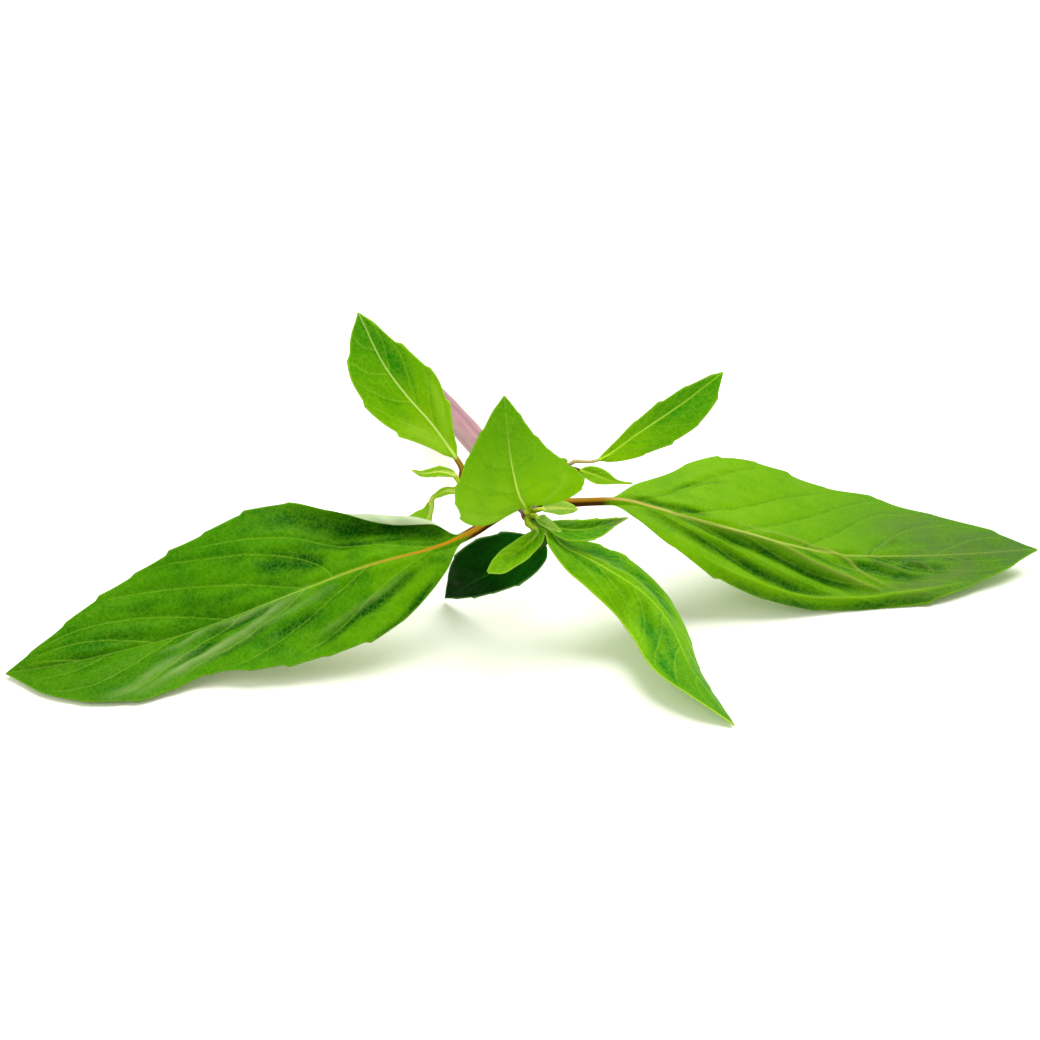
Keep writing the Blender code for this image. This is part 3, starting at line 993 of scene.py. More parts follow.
@dataclass(frozen=True)
class Stem:
    """A squarish ribbed stem with swollen nodes and a plain cut end."""

    name: str
    finish: StemFinish
    route: tuple
    widths: tuple
    swellings: tuple = ()     # (share of the route, extra width, length in mm)
    ribs: float = 0.10        # depth of the groove in each flat, share of the width
    stations: int = 120
    sides: int = 48
    cut_foot: bool = False

    def build(self) -> bpy.types.Object:
        """Makes the stem's closed mesh.

        Returns:
            The object, not yet dressed.
        """
        route, length = smooth_route(self.route, self.stations)
        along = unit(np.gradient(route, axis=0))
        side = unit(np.cross((0.0, 0.0, 1.0), along))
        up = np.cross(along, side)
        share = np.linspace(0.0, 1.0, self.stations)
        width = smooth_values(self.widths, share)
        for where, extra, reach in self.swellings:
            width = width + extra * bell((share - where) * length, reach)[:, None]
        angle = 2.0 * np.pi * (np.arange(self.sides) + 0.5)[None, :] / self.sides
        corner = np.cos(4.0 * angle)
        fine = 0.012 * np.sin(20.0 * angle + 0.6 * np.sin(share * 9.0)[:, None])
        radius = width / 2 * (1.0 - self.ribs * corner - 0.03 * np.cos(8.0 * angle) + fine)
        bend = 1.0 + 0.02 * np.sin(share * 31.0)[:, None]
        points = (route[:, None, :] + side[:, None, :] * (radius * np.cos(angle) * bend)[..., None]
                  + up[:, None, :] * (radius * np.sin(angle))[..., None])
        groove = np.broadcast_to(ease(0.2, 1.0, corner), radius.shape)
        place = np.stack([np.broadcast_to(share[:, None] * length, radius.shape),
                          radius * np.cos(angle), radius * np.sin(angle)], axis=-1)
        masks = {"along": np.broadcast_to(share[:, None], radius.shape), "groove": groove,
                 "cut": np.zeros(radius.shape)}
        points, place, masks, rings = self.close_ends(points, place, masks, along)
        count = self.sides
        faces = Piece.ring_faces(rings, count)
        faces.append(tuple(reversed(range(count))))
        faces.append(tuple(range((rings - 1) * count, rings * count)))
        return Piece.mesh_object(self.name + "_visual", points, faces, masks, place)

    def close_ends(self, points: np.ndarray, place: np.ndarray, masks: dict,
                   along: np.ndarray) -> tuple:
        """Adds the rings of the two end faces.

        Args:
            points: The stem's rings.
            place: Their places on the stem.
            masks: Their masks.
            along: The stem's direction at each ring.

        Returns:
            Points, places, masks, all flattened, and the number of rings.
        """
        foot = CUT_END if self.cut_foot else ROUND_END
        points = np.stack(self.end_rings(points[0], -along[0], foot)[::-1] + list(points)
                          + self.end_rings(points[-1], along[-1], ROUND_END))
        place = np.stack([place[0] * (1.0, scale, scale) for scale, _ in reversed(foot)]
                         + list(place) + [place[-1]] * len(ROUND_END))
        closed = {key: np.vstack([mask[:1]] * len(foot) + [mask] + [mask[-1:]] * len(ROUND_END))
                  for key, mask in masks.items()}
        if self.cut_foot:
            closed["cut"][:len(foot) - 1] = 1.0
        closed = {key: mask.reshape(-1) for key, mask in closed.items()}
        return points.reshape(-1, 3), place.reshape(-1, 3), closed, len(points)

    @staticmethod
    def end_rings(ring: np.ndarray, direction: np.ndarray, steps: tuple) -> list:
        """Shrinks a stem's last ring step by step to close the end.

        Args:
            ring: The last ring's points.
            direction: Where the end looks.
            steps: Size and rise of each new ring.

        Returns:
            The new rings, outwards.
        """
        centre = ring.mean(axis=0)
        radius = np.linalg.norm(ring - centre, axis=1).mean()
        return [centre + (ring - centre) * scale + direction * lift * radius
                for scale, lift in steps]

    def grow(self) -> bpy.types.Object:
        """Builds the stem, dresses it and puts it in its place."""
        made = self.build()
        Piece.settle(made, self.name, self.finish.slot, self.finish.material(self.name))
        return made


# ---------------------------------------------------------------- the plant

# In the finishes below, the shade colour paints shade in folds and the sheen colour paints sheen on
# raised folds.
MATURE = LeafFinish("mature_leaf", foot="6caa00", middle="4d8e00", tip="457d00", deep="186402",
                    deep_share=0.65, painted_shade_colour="034a02", vein="93c62e", vein_share=0.38, rib_foot="b07a10",
                    rib="83ad34", rib_wide=0.28, rib_thin=0.08, rib_hold=0.35, rim="8cbd2c",
                    rim_share=0.4, under="d8e6ba", painted_sheen="86a656", thinness=0.30,
                    light_through="5fae00", gloss=0.08)
BROAD = LeafFinish("mature_leaf", foot="84ba00", middle="70a600", tip="3e6a12", deep="4f9202",
                   deep_share=0.4, painted_shade_colour="0e5202", vein="98c832", vein_share=0.25,
                   rib_foot="c4a455", rib="9fac48", rim="8fc414", rib_reach=0.2, rib_wide=0.28,
                   rib_thin=0.07, rib_hold=0.3, painted_sheen="5f7634", purple="4a5c36",
                   purple_share=0.65, under="93b436", thinness=0.38, light_through="86c400")
FRESH = LeafFinish("fresh_leaf", light_through="86c800")
YOUNG = LeafFinish("young_leaf", foot="9cc800", middle="86b800", tip="62a000", deep="6aa800",
                   deep_share=0.35, painted_shade_colour="4a8c04", vein="b8d83a", vein_share=0.25,
                   rib="c6dc5c", rib_foot="d0de6a", stalk="b4c832", stalk_side="7f9a10",
                   rim="b8dc48", thinness=0.36, light_through="98d000", under="cfe69a")
# This leaf lies in the others' shadow: its colours are darkened to paint that shade.
SHADED = replace(MATURE, foot="075004", middle="043602", tip="022401", deep="011801",
                 painted_shade_colour="011001", vein="0a4a08", vein_share=0.3, rib="1c5c10",
                 rib_foot="2a4a10", rim="6a9a50", rim_share=0.6, thinness=0.04, under="a5bb90",
                 stalk="2a4a10", stalk_side="1a2a08", gloss=0.05)


class Shoot(Enum):
    """The parts of the plant that leaves grow from."""

    MAIN = "main node"
    TIP = "growing tip"
    LEFT = "left side shoot"
    RIGHT = "right side shoot"


@dataclass
class Sprig:
    """The whole plant, shoot by shoot."""

    stem_width: float = 3.2
    shoot_width: float = 1.0
    large_stations: int = 320
    large_columns: int = 44

    def stems(self) -> list[Stem]:
        """Lists the stems."""
        thick, thin = self.stem_width, self.shoot_width
        skin = StemFinish("purple_stem")
        young = StemFinish("young_stem", skin="7a2a1c", groove="4a140c", streak="8f5a28",
                           young_from=2.0)
        return [
            Stem("main_stem", skin, cut_foot=True,
                 route=((-15.6, 64.5, -13.7), (-10.2, 42.0, -8.4), (-5.6, 22.5, -4.1),
                        (-0.4, 2.0, 0.0), (0.0, -5.6, 1.2)),
                 widths=(thick * 0.94, thick * 0.97, thick, thick * 1.03, thick * 0.47),
                 swellings=((0.935, 1.1, 2.4), (0.03, 0.15, 1.5)), stations=220),
            Stem("left_shoot_stem", young,
                 route=((-1.4, -0.6, 1.2), (-4.6, -2.4, 3.6), (-7.4, -3.2, 4.4)),
                 widths=(thin * 1.3, thin, thin * 0.9), swellings=((0.97, 0.35, 0.8),),
                 stations=40, sides=24),
            Stem("right_shoot_stem", young,
                 route=((1.4, -0.1, 1.2), (3.6, -1.6, 4.4), (5.1, -2.0, 6.3)),
                 widths=(thin * 1.3, thin, thin * 0.9), swellings=((0.97, 0.35, 0.8),),
                 stations=40, sides=24),
        ]

    def large_leaves(self) -> list[Leaf]:
        """Lists the pair of large leaves at the main node."""
        return [self.left_large_leaf(), self.right_large_leaf()]

    def left_large_leaf(self) -> Leaf:
        """Describes the left large leaf, its back edge rolled over near the stalk."""
        return Leaf(
            "left_large_leaf", MATURE,
            route=((-2.7, -1.6, -0.2), (-9.0, -7.4, -1.5), (-21.0, -10.0, -4.0),
                   (-33.0, -10.8, -8.9), (-44.0, -13.0, -12.2),
                   (-56.0, -17.0, -13.4), (-65.2, -18.4, -14.5)),
            stalk=0.12, stalk_radius=0.60, root=(-0.9, -0.5, 0.1),
            left=(0.6, 5.2, 8.4, 9.7, 10.2, 10.3, 9.9, 8.5, 9.2, 10.0, 8.8, 5.6, 0.1),
            right=(0.8, 6.6, 9.2, 9.7, 12.55, 12.6, 11.6, 10.8, 9.6, 8.0, 6.0, 3.3, 0.1),
            facing=((0, -0.59, 0.81), (0, -0.47, 0.88), (0, -0.47, 0.88), (0, -0.44, 0.9)),
            fold_left=(-16, -9, 13, 18, 20), fold_right=(-28, -4, 20, 14, 9),
            roll_right=(80, 220, 200, 72, 0, 0, 0, 0, 0, 0, 0, 0, 0), roll_from=0.62,
            veins_right=((0.05, 0.60, 1.2), (0.28, 0.68, 1.7), (0.34, 0.80, 1.0),
                         (0.52, 0.98, 1.0), (0.68, 1.10, 1.0)),
            veins_left=((0.05, 0.43, 1.1), (0.20, 0.58, 1.1), (0.34, 0.71, 1.1),
                        (0.48, 0.84, 1.1), (0.63, 0.96, 1.0), (0.78, 1.08, 1.0)),
            quilt=0.26, tooth=0.38, tooth_gap=5.25, tooth_shift_left=0.1, tooth_shift_right=0.1,
            tooth_from=(0.12, 0.26),
            wave=0.25,
            # Dark folds and patches carry painted shade, pale raised creases and broad patches painted
            # sheen.
            lines=(
                Line(((-0.02, -0.40), (0.08, -0.55), (0.20, -0.66), (0.30, -0.80), (0.42, -0.90)),
                     1.9, depth=0.4, dark=1.0),
                Line(((0.29, -0.26), (0.36, -0.33), (0.43, -0.42)), 1.6, depth=0.3, dark=1.0),
                Line(((0.05, -0.40), (0.20, -0.40), (0.35, -0.48)), 0.6, depth=0.2, dark=0.8),
                Line(((0.08, 0.32), (0.18, 0.52), (0.27, 0.66), (0.36, 0.86)), 0.7,
                     depth=0.45, dark=1.0),
                Line(((0.13, 0.32), (0.19, 0.44), (0.28, 0.58), (0.35, 0.74)), 0.35,
                     depth=-0.15, pale=0.35),
                Line(((0.33, 0.38), (0.39, 0.46), (0.45, 0.56)), 0.9, depth=0.25, dark=1.0),
                Line(((0.40, 0.12), (0.49, 0.14), (0.58, 0.22)), 0.65, depth=0.35, dark=1.0),
                Line(((0.55, 0.34), (0.60, 0.45), (0.65, 0.56)), 0.75, depth=0.3, dark=1.0),
                Line(((0.44, -0.20), (0.50, -0.24), (0.56, -0.20)), 0.7, dark=0.6),
                Line(((0.62, -0.55), (0.67, -0.50), (0.72, -0.52)), 0.8, dark=0.5),
                Line(((0.70, -0.25), (0.76, -0.30), (0.82, -0.28)), 0.8, dark=0.5),
                Line(((0.34, 0.03), (0.42, 0.14), (0.48, 0.33), (0.54, 0.48), (0.59, 0.65),
                      (0.64, 0.71), (0.70, 0.77), (0.76, 0.88)), 0.65, depth=-0.45, pale=1.0),
                Line(((0.42, 0.25), (0.48, 0.45), (0.54, 0.62), (0.60, 0.80)), 0.5, depth=0.25,
                     dark=0.45),
                Line(((0.36, 0.02), (0.44, 0.03), (0.50, 0.08), (0.57, 0.08), (0.63, 0.24),
                      (0.68, 0.24)), 0.45, depth=-0.25, pale=0.65),
                Line(((0.28, 0.12), (0.38, 0.24), (0.47, 0.33)), 0.5, depth=-0.2, pale=0.5),
                Line(((0.60, 0.40), (0.70, 0.56), (0.77, 0.80), (0.82, 0.92)), 0.7,
                     depth=-0.2, pale=0.6),
                Line(((0.66, 0.30), (0.74, 0.48), (0.82, 0.62)), 1.5, dark=0.25),
                Line(((0.06, 0.84), (0.16, 0.96), (0.24, 0.99)), 0.5, dark=1.0),
                Line(((0.48, -0.10), (0.56, -0.30), (0.62, -0.45)), 1.2, dark=0.35),
                Line(((0.44, -0.55), (0.50, -0.60)), 1.0, dark=0.35),
                Line(((0.56, -0.28), (0.60, -0.20), (0.64, -0.02)), 0.9, depth=0.15, dark=0.4),
                Line(((0.75, 0.02), (0.86, 0.0), (0.96, 0.0)), 0.4, depth=0.12, dark=0.55),
            ),
            seed=1.0, stations=self.large_stations, columns=self.large_columns)

    def right_large_leaf(self) -> Leaf:
        """Describes the right large leaf, pleated along its front half."""
        return Leaf(
            "right_large_leaf", BROAD,
            route=((2.7, -0.2, 0.0), (12.6, 1.2, -0.5), (19.6, 0.8, -2.0),
                   (27.4, 1.1, -4.7), (34.0, 2.2, -7.3), (41.0, 4.1, -9.8),
                   (50.0, 6.9, -11.5), (57.0, 8.8, -12.3), (67.3, 9.5, -12.0)),
            stalk=0.125, stalk_radius=0.54, root=(0.8, -0.3, 0.1),
            left=(1.2, 4.9, 9.2, 11.8, 13.1, 13.7, 13.6, 13.2, 12.3, 9.8, 6.8, 3.9, 0.1),
            right=(1.2, 3.3, 5.3, 6.8, 8.0, 8.6, 8.4, 8.1, 8.0, 7.5, 6.0, 3.6, 0.1),
            facing=towards(0, -0.34, 0.94),
            fold_left=(2, 2, -3, -6, -7), fold_right=(0, -22, -18, 4, 8),
            roll_right=(0, 0, 0, -20, -70, -85, -85, -80, -50, 0, 0, 0, 0), roll_from=0.76,
            veins_left=((0.04, 0.39, 1.6), (0.14, 0.62, 1.0), (0.29, 0.73, 1.0),
                        (0.45, 0.82, 1.1), (0.61, 0.91, 1.2), (0.77, 1.0, 1.1)),
            veins_right=((0.03, 0.50, 0.9), (0.14, 0.66, 0.9), (0.28, 0.78, 0.9),
                         (0.45, 0.88, 1.0), (0.62, 0.97, 1.0), (0.78, 1.05, 1.0)),
            quilt=0.22, tooth=0.35, tooth_gap=6.8, tooth_shift_left=0.95, tooth_shift_right=0.7,
            wave=0.25,
            # Dark pleats and the hanging strip carry painted shade, pale creases and patches painted
            # sheen, the bright crease a painted highlight.
            lines=(
                Line(((0.14, -0.08), (0.27, -0.15), (0.38, -0.23), (0.50, -0.46), (0.60, -0.74)),
                     0.85, depth=1.05, dark=1.0),
                Line(((0.27, -0.16), (0.38, -0.24), (0.48, -0.43)), 0.6, dark=1.0),
                Line(((0.18, -0.02), (0.36, -0.03), (0.45, -0.18), (0.54, -0.40), (0.61, -0.68)),
                     0.24, depth=-0.45, ridge=0.75),
                Line(((0.08, -0.36), (0.22, -0.46), (0.33, -0.56), (0.43, -0.68), (0.54, -0.84)),
                     0.8, depth=0.85, dark=1.0),
                Line(((0.26, -0.50), (0.36, -0.60), (0.46, -0.72)), 0.55, dark=1.0),
                Line(((0.27, 0.08), (0.38, 0.08), (0.46, 0.04), (0.54, -0.04), (0.59, -0.42),
                      (0.64, -0.70)), 0.24, depth=-0.30, ridge=0.6),
                Line(((0.31, 0.02), (0.42, -0.04), (0.52, -0.20), (0.57, -0.42)), 0.4, dark=0.45),
                Line(((0.02, 0.30), (0.09, 0.12), (0.17, 0.10), (0.22, 0.09)), 0.45, depth=0.25,
                     dark=0.9),
                Line(((0.13, 0.50), (0.19, 0.58), (0.25, 0.62)), 0.3, depth=0.15, dark=0.5),
                Line(((0.53, -0.06), (0.60, -0.24), (0.66, -0.42), (0.74, -0.52)), 0.9,
                     depth=0.5, dark=1.0),
                Line(((0.66, -0.16), (0.72, -0.28), (0.79, -0.42)), 0.85, depth=0.4, dark=1.0),
                Line(((0.60, -0.06), (0.68, -0.09), (0.77, -0.10)), 0.55, depth=0.25, dark=0.9),
                Line(((0.76, -0.10), (0.83, -0.14), (0.92, -0.18)), 0.7, depth=0.2, dark=0.7),
                Line(((0.70, -0.10), (0.73, -0.24), (0.75, -0.38)), 0.3, depth=-0.3, pale=0.9),
                Line(((0.60, -0.10), (0.63, -0.18), (0.68, -0.34)), 0.25, depth=-0.2, pale=0.8),
                Line(((0.80, -0.06), (0.82, -0.24), (0.86, -0.34)), 0.3, depth=-0.2, pale=0.7),
                Line(((0.62, 0.10), (0.72, 0.26), (0.84, 0.36)), 0.7, depth=0.2, dark=0.45),
                Line(((0.72, 0.10), (0.82, 0.16), (0.92, 0.14)), 0.5, depth=0.15, dark=0.4),
                Line(((0.24, -0.95), (0.42, -0.93), (0.62, -0.93), (0.80, -0.97)), 0.9, dark=0.85),
                Line(((0.22, -0.80), (0.40, -0.77), (0.60, -0.78), (0.80, -0.84)), 0.24,
                     depth=-0.30, light=0.55),
                Line(((0.60, 0.02), (0.66, 0.18), (0.73, 0.50), (0.79, 0.70), (0.87, 0.76)), 0.3,
                     depth=-0.25, pale=0.9),
                Line(((0.64, 0.40), (0.76, 0.55), (0.90, 0.45)), 3.2, pale=0.5),
                Line(((0.62, -0.70), (0.73, -0.70), (0.85, -0.45)), 1.2, depth=-0.2, pale=0.8),
                Line(((0.68, 0.05), (0.84, 0.05), (0.95, 0.0)), 1.6, pale=0.6),
            ),
            seed=2.0, stations=self.large_stations, columns=self.large_columns)

    def front_leaf(self) -> Leaf:
        """Describes the leaf that hangs forward to the surface."""
        return Leaf("front_leaf", replace(FRESH, deep_share=0.45, rib="8ebc1c", rib_wide=0.10,
                                          rib_thin=0.06, rib_hold=0.3, painted_shade_colour="1c7200",
                                          rib_foot="a8c83a", stalk="8fb020", stalk_side="5a8a10",
                                          vein_share=0.28, gloss=0.08,
                                          middle="7ab400", foot="70ac00", tip="458402",
                                          rim="b8d434", rim_share=0.9),
                    route=((1.6, -4.8, -0.4), (4.3, -8.6, -1.2), (9.9, -10.0, -4.0),
                           (15.0, -10.6, -7.6), (18.2, -14.2, -10.2), (20.5, -21.4, -12.3),
                           (25.2, -30.4, -14.7)),
                    stalk=0.06, stalk_radius=0.5, root=(0.4, -3.4, 0.2),
                    left=(0.8, 3.2, 5.0, 6.1, 6.3, 5.9, 4.4, 3.4, 2.9, 2.2, 1.3, 0.1),
                    right=(0.8, 2.8, 3.7, 4.3, 4.9, 5.4, 5.6, 5.6, 5.2, 4.2, 2.7, 0.1),
                    facing=((0.4, -0.2, 0.9), (0.7, -0.1, 0.7), (0.6, 0.0, 0.8)),
                    fold_left=(-6, -8, -10), fold_right=(-20, -40, 0),
                    veins_left=even_veins(6, first=0.06, reach=0.30),
                    veins_right=even_veins(6, first=0.04, reach=0.34),
                    quilt=0.2, tooth=0.55, tooth_gap=4.6, tooth_from=(0.10, 1.0), wave=0.2,
                    # Dark channels and patches carry painted shade.
                    lines=(
                        Line(((0.02, 0.30), (0.17, 0.56), (0.29, 0.60), (0.40, 0.56), (0.50, 0.40)),
                             1.6, depth=0.5, dark=1.0),
                        Line(((0.10, 0.45), (0.24, 0.55), (0.38, 0.50)), 1.1, dark=1.0),
                        Line(((0.10, 0.10), (0.24, 0.16), (0.36, 0.20), (0.46, 0.24)), 0.25,
                             depth=-0.2, ridge=0.6),
                        Line(((0.40, -0.42), (0.54, -0.54), (0.68, -0.62), (0.84, -0.64)), 0.95,
                             depth=0.45, dark=1.0),
                        Line(((0.50, -0.16), (0.60, -0.24), (0.70, -0.34)), 1.0, depth=0.25, dark=0.9),
                        Line(((0.50, -0.50), (0.60, -0.58), (0.70, -0.60)), 0.6, dark=1.0),
                        Line(((0.66, 0.25), (0.76, 0.30), (0.86, 0.20)), 0.7, dark=0.6),
                        Line(((0.0, -0.05), (0.12, -0.2), (0.24, -0.28)), 0.5, depth=0.2, dark=0.9),
                    ),
                    seed=3.0, stations=240, columns=32)

    def upright_leaf(self) -> Leaf:
        """Describes the leaf that stands up in front of the stem."""
        # The bright foot and darker tip are painted light: the low blade glows with light through it,
        # the steep tip gets less.
        return Leaf("upright_leaf", replace(YOUNG, foot="a4d200", middle="7cb000", tip="488e00",
                                            deep_share=0.5,
                                            vein_share=0.12, rib_wide=0.16, rib_thin=0.06,
                                            rib_hold=0.3, rim_share=0.35),
                    route=((0.0, -6.0, 2.4), (-1.0, -10.0, 6.3), (-1.9, -13.2, 12.2),
                           (-2.5, -14.2, 17.6), (-2.8, -14.0, 22.0)),
                    stalk=0.04, stalk_radius=0.5, root=(0.1, -5.2, 1.4),
                    left=(1.6, 5.0, 6.4, 7.2, 7.6, 7.7, 7.7, 7.8, 7.8, 7.6, 7.2, 6.7, 6.1, 5.5,
                          4.8, 4.0, 3.2, 2.5, 1.8, 1.0, 0.1),
                    right=(1.0, 3.6, 5.8, 7.2, 8.0, 8.3, 8.4, 8.2, 7.9, 7.5, 6.9, 6.3, 5.6, 4.9,
                           4.2, 3.5, 2.9, 2.2, 1.6, 0.9, 0.1),
                    facing=((0, -1.0, -0.7), (0, -1.0, -0.1), (0, -1.0, 0.3), (0, -1.0, 0.25),
                            (0, -1.0, 0.2)),
                    fold_left=(28, 14, 12, 12, 12), fold_right=(6, -2, 6, 12, 12), fold_onset=0.02,
                    veins_left=even_veins(4, reach=0.30), veins_right=even_veins(4, reach=0.30),
                    quilt=0.12, tooth=0.28, tooth_gap=3.1, wave=0.12,
                    # Dark patches carry painted shade, light lines along the margins painted highlights.
                    lines=(
                        Line(((0.50, -0.30), (0.70, -0.30), (0.88, -0.20)), 1.5, dark=0.35),
                        Line(((0.40, 0.42), (0.62, 0.40), (0.80, 0.30)), 1.2, dark=0.25),
                        Line(((0.12, 0.42), (0.30, 0.62), (0.48, 0.66)), 0.3, depth=0.1, dark=0.3),
                        Line(((0.04, -0.30), (0.20, -0.55), (0.34, -0.72), (0.50, -0.84)), 0.4,
                             depth=-0.06, light=0.25),
                        Line(((0.02, 0.50), (0.12, 0.80), (0.28, 0.90)), 0.6, light=0.25),
                        Line(((0.22, 0.10), (0.34, 0.30), (0.42, 0.50)), 0.4, depth=0.12, dark=0.3),
                        Line(((0.44, -0.08), (0.58, -0.12), (0.72, -0.10)), 0.8, dark=0.35),
                        Line(((0.16, -0.40), (0.26, -0.58), (0.40, -0.66)), 0.5, dark=0.3),
                    ),
                    seed=4.0, stations=180, columns=34)

    def tip_leaves(self) -> list[Leaf]:
        """Lists the leaves of the growing tip."""
        return [
            self.front_leaf(),
            self.upright_leaf(),
            Leaf("shaded_leaf", SHADED,
                 route=((0.8, -2.8, -2.0), (2.2, -4.2, -3.6), (-2.2, -3.8, -6.8),
                        (-6.4, -2.6, -9.8), (-10.6, 0.9, -14.4)),
                 stalk=0.14, stalk_radius=0.4, root=(0.2, -1.8, -0.8),
                 left=(1.2, 2.6, 2.9, 2.7, 2.3, 1.7, 1.0, 0.1),
                 right=(1.2, 3.4, 4.4, 4.8, 4.4, 3.4, 1.8, 0.1),
                 facing=towards(0, -1.0, 0.5),
                 tooth=0.2, tooth_gap=3.5, wave=0.2, seed=5.0),
            Leaf("young_left_leaf", replace(YOUNG, middle="84c004", tip="8cc81a", foot="5aa004",
                                            painted_shade_colour="2a7a04", rib="9ccc20", rib_hold=0.2),
                 route=((0.2, -6.7, 0.6), (1.2, -9.6, 0.7), (-0.9, -13.0, 0.3),
                        (-2.8, -15.0, -0.1), (-4.9, -16.2, -1.2)),
                 stalk=0.15, stalk_radius=0.4, root=(0.0, -5.4, 1.0),
                 left=(0.4, 1.0, 1.5, 1.8, 1.9, 1.9, 1.8, 1.4, 0.2),
                 right=(0.4, 0.7, 1.0, 1.2, 1.3, 1.3, 1.2, 0.9, 0.2),
                 facing=towards(0, -0.7, 0.7), fold_left=(25, 25, 10),
                 fold_right=(45, 30, 20), quilt=0.06, tooth=0.0, wave=0.2,
                 # The fold carries painted shade.
                 lines=(Line(((0.1, 0.3), (0.5, 0.3), (0.8, 0.2)), 0.5, depth=0.1, dark=0.6),),
                 seed=6.0),
            Leaf("young_right_leaf", replace(FRESH, foot="4f9a04", middle="4f9802", tip="4a7a10",
                                             vein_share=0.15, rib_hold=0.3, rib="8ac02a",
                                             rib_foot="8ac02a", rib_wide=0.1,
                                             stalk="4f9a04", stalk_side="2a6a04",
                                             purple="5a3a4a", purple_share=0.9),
                 route=((1.5, -6.2, 0.8), (4.4, -7.4, 0.2), (7.9, -7.6, 0.3),
                        (12.7, -5.6, 0.8)),
                 stalk=0.10, stalk_radius=0.35, root=(0.3, -5.0, 0.9),
                 left=(0.4, 1.2, 1.3, 1.1, 0.6, 0.1), right=(0.4, 1.4, 1.7, 1.5, 0.7, 0.1),
                 facing=towards(0, -0.7, 0.7), fold_left=(30, 30), fold_right=(15, 15),
                 quilt=0.06, tooth_gap=2.6, tooth=0.15, wave=0.15,
                 # The fold carries painted shade and the pale strip painted sheen.
                 lines=(Line(((0.1, 0.25), (0.5, 0.3), (0.8, 0.2)), 0.4, depth=0.1, dark=0.5),
                        Line(((0.12, 0.8), (0.35, 0.85)), 0.35, pale=0.9)),
                 seed=7.0),
            Leaf("bud_leaf_right", replace(YOUNG, foot="b4d870", middle="aed25a", tip="a0cc40",
                                           under="dcecc0"),
                 route=((1.5, -6.4, 2.4), (3.4, -6.4, 2.7), (6.4, -6.0, 2.2)),
                 stalk=0.08, stalk_radius=0.25, root=(0.3, -5.2, 1.4),
                 left=(0.3, 0.7, 0.9, 0.9, 0.8, 0.6, 0.1), right=(0.3, 0.6, 0.8, 0.9, 0.8, 0.5, 0.1),
                 facing=towards(0, -0.7, 0.7), fold_left=(30, 10), fold_right=(-20, -20),
                 quilt=0.04, tooth_gap=2.0, tooth=0.1, wave=0.1, stations=60, columns=14, seed=8.0),
            Leaf("bud_leaf_front", replace(YOUNG, foot="9cc850", middle="b4d870", tip="a0cc40",
                                           under="dcecc0"),
                 route=((1.1, -7.5, 2.0), (2.2, -9.0, 1.9), (4.2, -10.2, 1.3)),
                 stalk=0.08, stalk_radius=0.25, root=(0.2, -5.4, 1.2),
                 left=(0.3, 0.8, 0.8, 0.5, 0.1), right=(0.3, 0.7, 0.7, 0.5, 0.1),
                 facing=towards(0, -0.7, 0.7), fold_left=(40, 30), fold_right=(40, 30),
                 quilt=0.04, tooth_gap=2.0, tooth=0.1, wave=0.1, stations=60, columns=14, seed=9.0),
        ]

